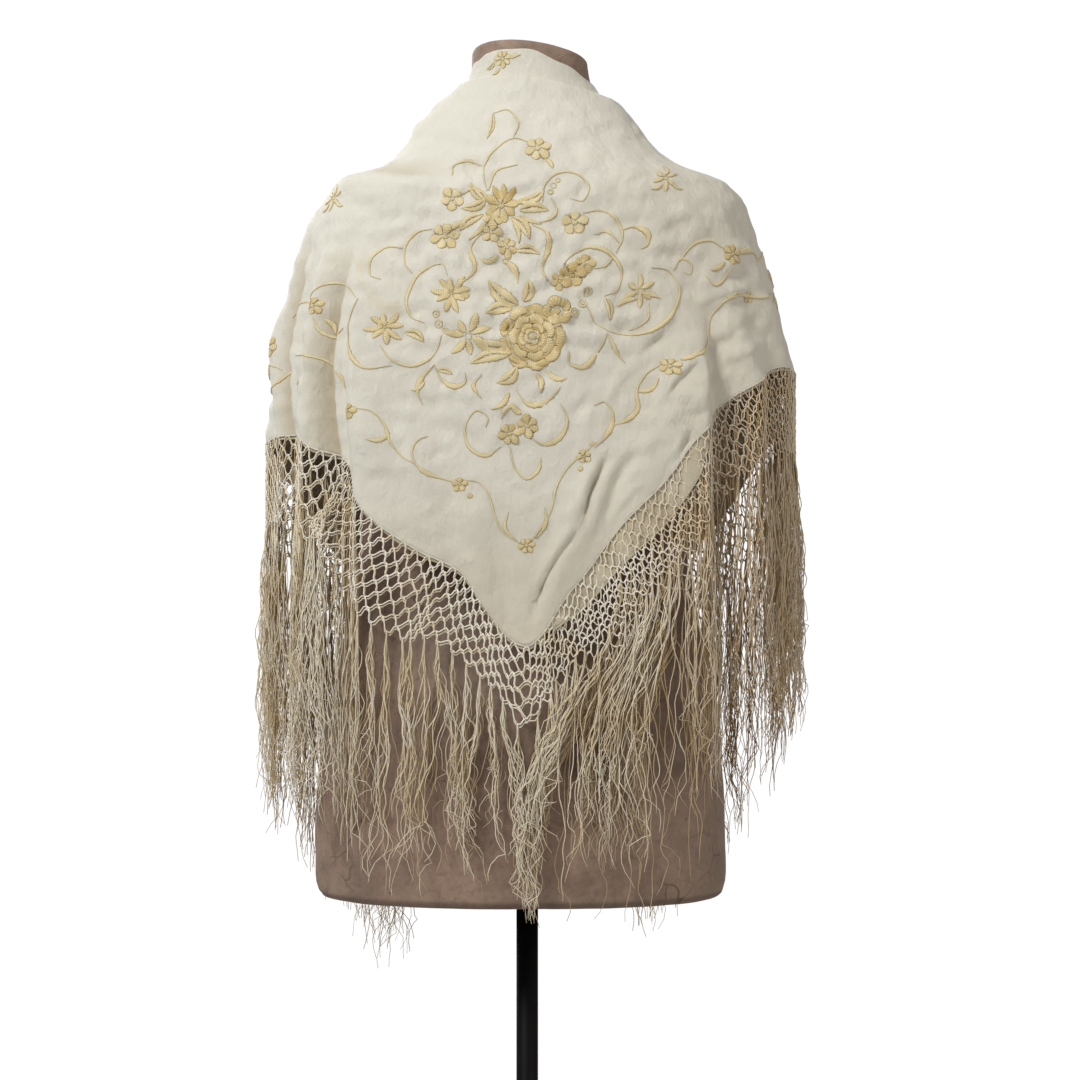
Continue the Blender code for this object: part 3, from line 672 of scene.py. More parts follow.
def build_neck_fold(material):
    """The neck fold: it stands above the neck edge and reaches a little way down inside the fall. Its
    upper edge rises and sinks by a millimetre or two, as soft silk does."""
    across, standing, inside = column_places(260), 0.97, 0.045
    neck, hem = neck_and_hem(across)
    wave = 0.0007 * np.sin(19 * across + 0.7) * smooth_step(1.0, 0.6, np.abs(across))
    top = neck + smooth_column(NECK_LINE, 2, across) * standing
    top += smooth_column(COLLAR_RISE, 1, across)
    top += wave
    bottom = neck + (hem - neck) * inside
    heights = top + (bottom - top) * np.linspace(0, 1, 26)[:, None]
    return cloth_sheet("shawl_neck_fold_cloth", heights, UNDER_MIDDLE, across, material)


def under_drop(across):
    """How far the under layer's hem hangs below the outer one: as on the solid where it shows well, and
    elsewhere drawn up to just below the outer hem."""
    drop = smooth_column(HEM_LINE, 2, across)
    drawn_up, least = 0.0045 * smooth_step(0.016, 0.008, drop), 0.0024
    return np.maximum(drop - drawn_up, least)


def hem_plan():
    """The hem seen from above, on a fine scale: across, the length of its plan from the middle of the
    back, the height of both hems, the points and the outward directions."""
    across = np.linspace(-1, 1, 2801)
    heights = smooth_column(HEM_LINE, 1, across)
    points = drape(across, heights)[:, :2]
    run = np.concatenate([[0.0], np.cumsum(np.linalg.norm(np.diff(points, axis=0), axis=1))])
    run -= np.interp(0.0, across, run)
    outward = -square_to(unit(np.gradient(points, run, axis=0)))
    under = heights - under_drop(across)
    return {"across": across, "run": run, "outer": heights, "under": under, "points": points,
            "outward": outward}


HEM = hem_plan()


def hung(run, height, offset):
    """Points on the upright wall below the hem: the plan at that length, moved outwards by the offset.
    Where that would come near the dress form, the point goes out along its ray from the axis to a little
    off the form, whose section is (|x| / half width)^square + (|y| / depth)^square = 1. The outward
    directions come with them."""
    flat, out = (np.stack([np.interp(run, HEM["run"], HEM[name][:, c]) for c in (0, 1)], axis=-1)
                 for name in ("points", "outward"))
    out = unit(out)
    flat = flat + out * np.asarray(offset)[..., None]
    left, right, back, front, square = columns(FORM_SECTIONS, height)
    x, y = flat[..., 0], flat[..., 1]
    share = (np.abs(x) / np.where(x < 0, left, right)) ** square
    share += (np.abs(y) / np.where(y < 0, back, front)) ** square
    far, off_form = np.linalg.norm(flat, axis=-1), 0.0022
    least = far * share ** (-1 / square) + off_form
    flat = flat * (1 + np.maximum(least - far, 0.0) / far)[..., None]
    level_out = np.concatenate([out, out[..., :1] * 0], axis=-1)
    return np.concatenate([flat, height[..., None]], axis=-1), level_out


# The knotted net: the spacing of its knots along the hem, the length of a bar between two knots, rows of
# bars
PITCH = 0.0123
BAR = 0.0107
NET_ROWS = 9
# How far a knot is off its place, the share of bars that are missing, and the radii of a bar and of the
# hem's roll
KNOT_SHAKE = 0.0007
BARS_MISSING = 0.012
BAR_RADIUS = 0.00068
HEM_RADIUS = 0.00085
# Loose threads: how many hang from a knot, how far apart their cords gather, how deep the net is, a
# thread's radius
THREADS_EACH = 6
CORD_STEP = 0.021
NET_DEPTH = 0.088
THREAD_RADIUS = 0.00050
# How the net hangs: across, how far it follows the hem's slope at the hem, and how much more at its lower
# edge
NET_LEAN = np.array([
    (-1.00, 0.30, 0.10),
    (-0.60, 0.60, 0.10),
    (-0.35, 0.85, 0.10),
    (-0.10, 0.85, 0.10),
    (-0.03, 0.20, 0.00),
    (0.03, 0.10, 0.20),
    (0.08, 0.28, 0.50),
    (0.20, 0.30, 0.50),
    (0.32, 0.50, 0.30),
    (0.55, 0.60, 0.10),
    (1.00, 0.30, 0.10),
])


def on_side(run, side):
    """Whether plan lengths belong to the left or the right piece, which part at the middle of the back."""
    return run < 0 if side == "left" else run >= 0


def net_knots(layer, seed):
    """The knots of one net, by row and place along the hem, as plan length and height. Row by row, each
    knot lies half a pitch further along the hem and a row's depth further down its way of hanging. The
    way is turned from the upright by a share of the hem's smoothed slope, and a row's depth d is what
    makes the longer of its two bars the bar length: d = sqrt(bar^2 - (pitch / 2)^2 + c^2) - c, with c
    half a pitch seen along the way."""
    run, heights = HEM["run"], HEM[layer]
    length = np.concatenate([[0.0], np.cumsum(np.hypot(np.diff(run), np.diff(heights)))])
    middle = np.interp(0.0, run, length)
    even = np.linspace(run[0], run[-1], 1200)
    level = np.interp(even, run, heights)
    window = np.hanning(57)
    padded = np.pad(np.gradient(level, even), len(window) // 2, mode="edge")
    slope = np.convolve(padded, window / window.sum(), mode="valid")
    first = int(np.ceil((length[0] - middle) / PITCH)) + 1
    last = int(np.floor((length[-1] - middle) / PITCH)) - 1
    place = np.arange(first - NET_ROWS // 2, last + 1)
    random = np.random.default_rng(seed)
    rows = []
    for row in range(NET_ROWS + 1):
        along = np.clip(middle + (place + row / 2) * PITCH, length[0], length[-1])
        at = np.interp(along, length, run)
        height = np.interp(at, run, heights)
        angle = np.arctan(np.interp(at, even, slope))
        lean, further = columns(NET_LEAN, np.interp(at, run, HEM["across"]))
        for step in range(row):
            turned_by = angle * (lean + further * step / NET_ROWS)
            seen = PITCH / 2 * np.abs(np.sin(angle - turned_by))
            depth = np.sqrt(BAR**2 - (PITCH / 2) ** 2 + seen**2) - seen
            at = at + depth * np.sin(turned_by)
            height = height - depth * np.cos(turned_by)
        shake = 0.0 if row == 0 else KNOT_SHAKE
        at = at + random.normal(0, shake, len(place))
        rows.append(np.stack([at, height + random.normal(0, shake, len(place))], axis=-1))
    spot = np.array(rows)
    shifted = place + np.arange(NET_ROWS + 1)[:, None] / 2
    drift = np.stack([ripples(spot, seed + s, (0.02, 0.08), 0.0012) for s in (1, 2)], axis=-1)
    fade = (np.arange(NET_ROWS + 1) / NET_ROWS)[:, None, None]
    return spot + drift * fade, (shifted >= first) & (shifted <= last)


def net_bars(spot, inside, seed):
    """The bars of one net as curves of plan length and height. A bar bends once to each side between its
    knots, by a sine wave, and sags by the slack it has. A few are missing."""
    random = np.random.default_rng(seed)
    starts, ends, turns = [], [], []
    both_ways = ((1.0, slice(None), slice(None)), (-1.0, slice(1, None), slice(None, -1)))
    for row in range(NET_ROWS):
        for turn, upper, lower in both_ways:
            both = inside[row, upper] & inside[row + 1, lower]
            starts.append(spot[row, upper][both])
            ends.append(spot[row + 1, lower][both])
            turns.append(np.full(both.sum(), turn))
    start, end, turn = np.concatenate(starts), np.concatenate(ends), np.concatenate(turns)
    kept = random.uniform(size=len(start)) > BARS_MISSING
    start, end, turn = start[kept], end[kept], turn[kept]
    t = np.linspace(0, 1, 5)
    way = end - start
    reach = np.linalg.norm(way, axis=-1, keepdims=True)
    side = square_to(way) / reach
    wave = (0.0010 + random.normal(0, 0.00025, len(start)))[:, None] * np.sin(2 * np.pi * t) * turn[:, None]
    slack = np.sqrt(np.maximum(BAR * 1.02 - reach, 0.0) * reach * 0.30) * np.sin(np.pi * t)
    slack *= random.uniform(0.2, 1.0, len(start))[:, None]
    line = start[:, None] + way[:, None] * t[:, None] + side[:, None] * wave[..., None]
    line[..., 1] -= slack
    return line


def build_net(fall, material, seed):
    """One knotted net: four-sided tubes for its bars and a small eight-faced bead for each knot, as a
    left and a right piece that part at the middle of the back. Where the under net would lie against the
    outer one, its fringe hangs from its first row."""
    spot, inside = net_knots(fall, 31)
    line = net_bars(spot, inside, 38)
    random = np.random.default_rng(seed + 11)
    lift = random.normal(0, 0.00012, line.shape[:2])
    paths, outward = hung(line[..., 0], line[..., 1], LAYERS[fall] + lift)
    along_bar = np.array([1.12, 0.96, 0.92, 0.96, 1.12])
    thickness = BAR_RADIUS * random.uniform(0.85, 1.15, (len(paths), 1)) * along_bar
    knots = spot[inside]
    heart, heart_out = hung(knots[:, 0], knots[:, 1], np.full(len(knots), LAYERS[fall]))
    pieces = []
    for side in ("left", "right"):
        mine, beads_here = on_side(line[:, 2, 0], side), on_side(knots[:, 0], side)
        points, faces, which = tubes(paths[mine], thickness[mine], 4, outward[mine])
        tone = random.uniform(0, 1, mine.sum())[which]
        bead_points, bead_faces = knot_beads(heart[beads_here], heart_out[beads_here], random)
        bead_tone = np.repeat(random.uniform(0.2, 1, beads_here.sum()), 6)
        pieces.append(add_piece(f"knotted_net_{fall}_{side}", np.concatenate([points, bead_points]),
                                [*faces, bead_faces + len(points)], material,
                                tone=np.concatenate([tone, bead_tone])))
    roots = spot[-1]
    if fall == "under":
        away = np.abs(roots[:, 0])
        roots = np.where(((away > 0.14) & (away < 0.44))[:, None], spot[1], roots)
    return pieces, roots[inside[-1]]


def knot_beads(hearts, outward, random):
    """Eight-faced beads: six points along three crossed axes round each heart, the outward one shorter."""
    sideways = unit(np.cross(outward, (0.0, 0.0, 1.0)))
    up = np.broadcast_to((0.0, 0.0, 1.0), hearts.shape)
    size = random.uniform(0.85, 1.2, (len(hearts), 1))
    axes = ((sideways, 0.00125), (up, 0.00115), (outward, 0.0009))
    arms = [way * half for way, most in axes for half in (most, -most)]
    points = hearts[:, None] + np.stack(arms, axis=1) * size[:, None]
    corners = np.array([(4, 2, 0), (4, 1, 2), (4, 3, 1), (4, 0, 3),
                        (5, 0, 2), (5, 2, 1), (5, 1, 3), (5, 3, 0)])
    start = (np.arange(len(hearts)) * 6)[:, None, None]
    return points.reshape(-1, 3), (corners + start).reshape(-1, 3)


# The loose strands: across, how far they hang below the net
STRAND_LINE = np.array([
    (-1.00, 0.236),
    (-0.25, 0.236),
    (-0.12, 0.205),
    (-0.06, 0.150),
    (0.00, 0.150),
    (0.05, 0.190),
    (0.10, 0.225),
    (0.25, 0.236),
    (1.00, 0.236),
])
# Bunches of the fringe, in millimetres of plan length: from, to, where they gather, height where they
# end, share
BUNCHES = np.array([
    (-22, 34, -2, 622, 0.95),
    (36, 62, 6, 650, 0.85),
    (62, 84, 12, 690, 0.65),
    (-40, -22, -30, 705, 0.70),
    (-64, -40, -54, 652, 0.85),
    (-88, -66, -62, 690, 0.60),
    (84, 104, 50, 664, 0.80),
    (104, 124, 71, 668, 0.80),
    (124, 148, 95, 682, 0.75),
    (-118, -96, -104, 706, 0.70),
    (-150, -128, -140, 716, 0.70),
    (150, 172, 160, 716, 0.70),
])


def uneven(random, count, steps):
    """Rows of random numbers, each a weighted mean with its neighbours, 1 : 2 : 1."""
    noise = random.normal(0, 1, (count, steps + 2))
    return (noise[:, :-2] + 2 * noise[:, 1:-1] + noise[:, 2:]) / 4


def build_fringe(fall, roots, material, seed):
    """The loose threads of one net. From each lowest knot several hang down: the height falls evenly,
    while the plan length eases over to the cord that the thread belongs to. Round its cord a thread turns
    on a small circle. Kinks are uneven steps that grow downwards, wandering is their running sum, and
    many ends turn in a last curl. Three-sided tubes, in a left and a right piece."""
    random = np.random.default_rng(seed)
    outer, steps = fall == "outer", 33
    count = len(roots) * THREADS_EACH
    root_run, root_height = np.repeat(roots, THREADS_EACH, axis=0).T
    across = np.interp(root_run, HEM["run"], HEM["across"])
    lowest = np.interp(root_run, HEM["run"], HEM[fall]) - NET_DEPTH - smooth_column(STRAND_LINE, 1, across)
    share = 1.06 - 0.46 * random.uniform(0, 1, count) ** 1.35
    share = np.where(np.abs(across) > 0.86, np.maximum(share, random.uniform(0.84, 1.06, count)), share)
    hang = (root_height - lowest) * share
    gather = np.round((root_run + random.normal(0, 0.008, count)) / CORD_STEP) * CORD_STEP
    gather += 0.007 * np.sin(gather * 913.0)
    pull = random.uniform(0.35, 0.97, count)
    for low, high, middle, end, part in BUNCHES:
        mine = (root_run > low * MM) & (root_run <= high * MM) & (random.uniform(size=count) < part)
        gather = np.where(mine, middle * MM, gather)
        pull = np.where(mine, random.uniform(0.85, 1.0, count), pull)
        reach = np.maximum(root_height - end * MM, 0.06) * random.uniform(0.66, 1.03, count)
        hang = np.where(mine, reach, hang)
    t = np.linspace(0, 1, steps)
    free = np.minimum(t * 6, 1)
    loose = random.uniform(0, 1, (count, 1)) ** 1.4
    run = root_run[:, None] + ((gather - root_run) * pull)[:, None] * smooth_step(0.04, 0.75, t)
    run += 0.004 * t * np.sin(2 * np.pi * (1.2 * t + np.sin(gather * 611.0)[:, None]))
    start, way_round = random.uniform(0, 1, (count, 1)), random.choice([-1, 1], (count, 1))
    turn = 2 * np.pi * (start + way_round * (1.5 + 2 * loose) * t)
    around = (0.0009 + 0.0032 * loose + 0.0040 * loose * smooth_step(0.7, 1.0, t)) * free
    run += around * np.cos(turn)
    run += 0.0021 * (0.25 + 0.75 * t) * free * uneven(random, count, steps)
    run += 0.0010 * t * np.cumsum(uneven(random, count, steps), axis=1)
    last = smooth_step(0.80, 1.0, t) * (random.uniform(0, 1, (count, 1)) < 0.55)
    curl = random.choice([-1, 1], (count, 1)) * random.uniform(0.002, 0.007, (count, 1))
    run += curl * np.sin(5.5 * last)
    height = root_height[:, None] - hang[:, None] * t
    rise = np.abs(curl) * 1.6 * (1 - np.cos(5.0 * last)) * 0.5
    height += rise + 0.0012 * t * uneven(random, count, steps)
    swing = random.uniform(*((0.001, 0.008) if outer else (-0.004, 0.001)), (count, 1))
    sway = swing * smooth_step(0.0, 0.5, t) + around * np.sin(turn) * (0.9 if outer else 0.5)
    sway += 0.0012 * t * uneven(random, count, steps)
    run = np.clip(run, HEM["run"][0], HEM["run"][-1])
    paths, outward = hung(run, height, LAYERS[fall] + sway)
    radii = THREAD_RADIUS * random.uniform(0.8, 1.2, (count, 1)) * (1.0 - 0.35 * t**3)
    # Each thread's tone is random; the under layer's lower range is painted shade for the strands that hang
    # behind
    tone = random.uniform(*((0.35, 1) if outer else (0, 0.6)), count)
    pieces = []
    for side in ("left", "right"):
        mine = on_side(root_run, side)
        points, faces, which = tubes(paths[mine], radii[mine], 3, outward[mine])
        pieces.append(add_piece(f"loose_fringe_{fall}_{side}", points, faces, material,
                                tone=tone[mine][which]))
    return pieces


def build_hem(fall, material):
    """The rolled hem: a tube along the hem line, up both front edges for the outer fall, that swells and
    thins a little, as a hand-rolled edge does."""
    across = np.linspace(-1, 1, 900)
    heights = smooth_column(HEM_LINE, 1, across) - (under_drop(across) if fall == "under" else 0)
    path = cloth_at(across, heights, np.full(len(across), LAYERS[fall]))
    if fall == "outer":
        ends = []
        for side in (-1.0, 1.0):
            neck, hem = neck_and_hem(np.array([side]))
            up = np.linspace(neck[0] - 0.004, hem[0], 150)
            ends.append(cloth_at(np.full(150, side), up, np.full(150, LAYERS[fall])))
        path = np.concatenate([ends[0][:-1], path, ends[1][::-1][1:]])
    outward = unit(np.cross(np.gradient(path, axis=0), (0.0, 0.0, -1.0)) + 1e-9)
    place = np.arange(len(path))
    radii = HEM_RADIUS * (1 + 0.12 * np.sin(place * 0.9) + 0.08 * np.sin(place * 0.23))
    points, faces, _ = tubes(path[None], radii[None], 6, outward[None])
    return add_piece(f"rolled_hem_{fall}", points, faces, material)


# Embroidery. A stroke is a run of satin stitch: a centre line, a half width at each of its points, how
# far it rises, and a tone from cream at 0 to gold at 1. Lines are in millimetres of girth and height. All
# strokes are lifted by the first measure, in millimetres, and their edges sunk by the second.
STROKE_LIFT = 0.14
STROKE_SUNK = 0.30


def curve_through(spots, count):
    """A smooth line through spots: cubic pieces over the chord lengths, with slopes from the neighbours."""
    spots = np.asarray(spots, float)
    at = np.concatenate([[0.0], np.cumsum(np.linalg.norm(np.diff(spots, axis=0), axis=1))])
    slopes = np.gradient(spots, at, axis=0)
    wanted = np.linspace(0, at[-1], count)
    row = np.clip(np.searchsorted(at, wanted, side="right") - 1, 0, len(at) - 2)
    gap = (at[row + 1] - at[row])[:, None]
    t = (wanted[:, None] - at[row][:, None]) / gap
    first = spots[row] * (1 + 2 * t) * (1 - t) ** 2 + gap * slopes[row] * t * (1 - t) ** 2
    return first + spots[row + 1] * t**2 * (3 - 2 * t) - gap * slopes[row + 1] * t**2 * (1 - t)


def serrated(count, share):
    """Factors that go up and down by a share from point to point, as the ends of satin stitches do."""
    return 1 + share * (-1) ** np.arange(count)


def stem(spots, width=0.55, swell=0.9, peak=0.5, tone=0.25):
    """A stem through spots: thin, and swollen round its peak by a sine bump, as padded stem stitch is."""
    reach = np.linalg.norm(np.diff(np.asarray(spots, float), axis=0), axis=1).sum()
    count = int(np.clip(reach / 2.6, 8, 60))
    t = np.linspace(0, 1, count)
    warped = np.where(t < peak, t / peak / 2, 0.5 + (t - peak) / (1 - peak) / 2)
    half = 1.25 * width * np.minimum(1, 6 * np.minimum(t, 1 - t) + 0.35)
    half += 1.15 * swell * np.sin(np.pi * warped) ** 4
    return [(curve_through(spots, count), half * serrated(count, 0.13), 0.75, tone)]


def petal(base, tip, width, bend=0.0, tone=0.4, full=0.75, rise=0.75):
    """A petal or leaf from base to tip: its half width is the width times sin(pi t^full)^0.65, largest
    past the middle when full is above 1, and its line bends sideways by a half sine."""
    base, tip = np.asarray(base, float), np.asarray(tip, float)
    t = np.linspace(0, 1, 14)
    way = tip - base
    line = base + way * t[:, None] + square_to(way) * (bend * np.sin(np.pi * t))[:, None]
    half = width * np.sin(np.pi * np.clip(t, 0.006, 0.994) ** full) ** 0.65
    return [(line, half * serrated(len(t), 0.11), rise, tone)]


def leaf(base, tip, width, bend=0.0, tone=0.4):
    """A leaf in two halves, one on each side of an open vein: their lines bow out by 0.5 width sin(pi
    t^0.85)^0.9, and each is 0.47 width sin(pi t^0.85)^0.7 wide to each side."""
    base, tip = np.asarray(base, float), np.asarray(tip, float)
    way = tip - base
    reach = np.linalg.norm(way)
    t = np.linspace(0, 1, 13)
    strokes = []
    for way_out in (-1, 1):
        bow = bend * reach * np.sin(np.pi * t) + way_out * (width * (0.50 * np.sin(np.pi * t**0.85) ** 0.9))
        line = base + way * t[:, None] + (square_to(way) / reach) * bow[:, None]
        half = 0.47 * width * np.sin(np.pi * np.clip(t, 0.006, 0.994) ** 0.85) ** 0.7
        strokes.append((line, half * serrated(len(t), 0.15), 0.75, tone + 0.16 * way_out))
    return strokes


def berry(centre, radius, tone=0.6):
    """A round dot of satin stitch: a short line whose half width is that of a circle."""
    t = np.linspace(-1, 1, 8)
    line = np.asarray(centre, float) + np.stack([t * radius, t * 0.15 * radius], axis=-1)
    return [(line, radius * np.sqrt(np.maximum(1 - t**2, 0.01)), 0.45 + 0.07 * radius, tone)]


def ring(centre, radius, width=0.75, tone=0.35):
    """A small open ring of stem stitch."""
    a = np.linspace(0.3, 0.3 + 2 * np.pi, 15)
    line = np.asarray(centre, float) + radius * np.stack([np.cos(a), np.sin(a)], axis=-1)
    return [(line, np.full(15, width), 0.5, tone)]


def heading(turn, k, count):
    """The direction of the k-th of count petals set evenly about a centre."""
    angle = turn + 2 * np.pi * k / count
    return np.array([np.cos(angle), np.sin(angle)])


def bloom(centre, radius, petals=5, turn=0.0, tone=0.45, heart=0.20):
    """A flower of broad petals that touch each other, set about a berry, each a little longer or
    shorter."""
    centre = np.asarray(centre, float)
    wide = radius * min(2.5 / petals, 0.50)
    strokes = []
    for k in range(petals):
        way = heading(turn, k, petals)
        reach = radius * (1.08 + 0.10 * np.sin(2.3 * k + 7 * turn))
        strokes += petal(centre + way * radius * heart, centre + way * reach, wide, 0.0,
                         tone + 0.18 * (k % 2), 1.45, 0.7)
    return strokes + berry(centre, radius * heart * 1.1, tone + 0.25)


def star(centre, radius, petals=7, turn=0.0, tone=0.4):
    """A flower of pointed petals about an open ring."""
    centre = np.asarray(centre, float)
    strokes = []
    for k in range(petals):
        way = heading(turn, k, petals)
        longer = 1.05 + 0.16 * np.sin(2.1 * k + turn)
        strokes += petal(centre + way * radius * 0.20, centre + way * radius * longer, radius * 0.20,
                         0.06 * (-1) ** k, tone + 0.1 * (k % 2), 0.95)
    return strokes + ring(centre, radius * 0.15, 0.5, tone)


def round_petals(centre, radius, thick, petals, turn, tone, rise):
    """A row of petals along a circle: each is a stroke on an arc, widest in its middle."""
    centre = np.asarray(centre, float)
    span = 2 * np.pi / petals
    t = np.linspace(0.02, 0.98, 13)
    half = thick / 2 * np.sin(np.pi * t) ** 0.28 * serrated(13, 0.03)
    strokes = []
    for k in range(petals):
        a = turn + span * (k + np.linspace(-0.485, 0.485, 13))
        out = radius * (1 + 0.03 * np.sin(5.1 * k + turn))
        out = out + 0.10 * thick * np.cos((a - turn - span * k) * petals)
        line = centre + out[:, None] * np.stack([np.cos(a), np.sin(a)], axis=-1)
        strokes.append((line, half, rise, tone + 0.1 * np.sin(1.7 * k + turn)))
    return strokes


def rose(centre, radius, turn=0.0):
    """A full rose: four rows of petals round a berry, with low dark rings of stitching in the gaps
    between rows."""
    strokes = []
    for share, wide in ((0.88, 0.075), (0.69, 0.06), (0.44, 0.05), (0.26, 0.035)):
        strokes += ring(centre, share * radius, wide * radius, 1.6)
    for share, thick, petals, more, tone, rise in (
        (0.84, 0.31, 9, 0.3, 0.62, 0.65),
        (0.555, 0.26, 7, 0.0, 0.55, 0.8),
        (0.335, 0.18, 5, 0.5, 0.50, 0.9),
        (0.185, 0.12, 4, 0.1, 0.46, 0.95),
    ):
        strokes += round_petals(centre, share * radius, thick * radius, petals, turn + more, tone, rise)
    return strokes + berry(centre, 0.10 * radius, 0.65)


def eyed_ring(centre, radius):
    """A ring with a small berry in it."""
    return ring(centre, radius) + berry(centre, radius * 0.35, 0.4)


def double_ring(centre):
    """A ring in a ring."""
    return ring(centre, 3.6) + ring(centre, 1.7, 0.4)


def worked(design, at=(0.0, 0.0)):
    """The strokes of a design. Each row is a motif: what makes it, its spots, measured from at, and its
    settings."""
    strokes = []
    for make, *given in design:
        strokes += make(*(np.asarray(g, float) + at if isinstance(g, tuple) else g for g in given))
    return strokes


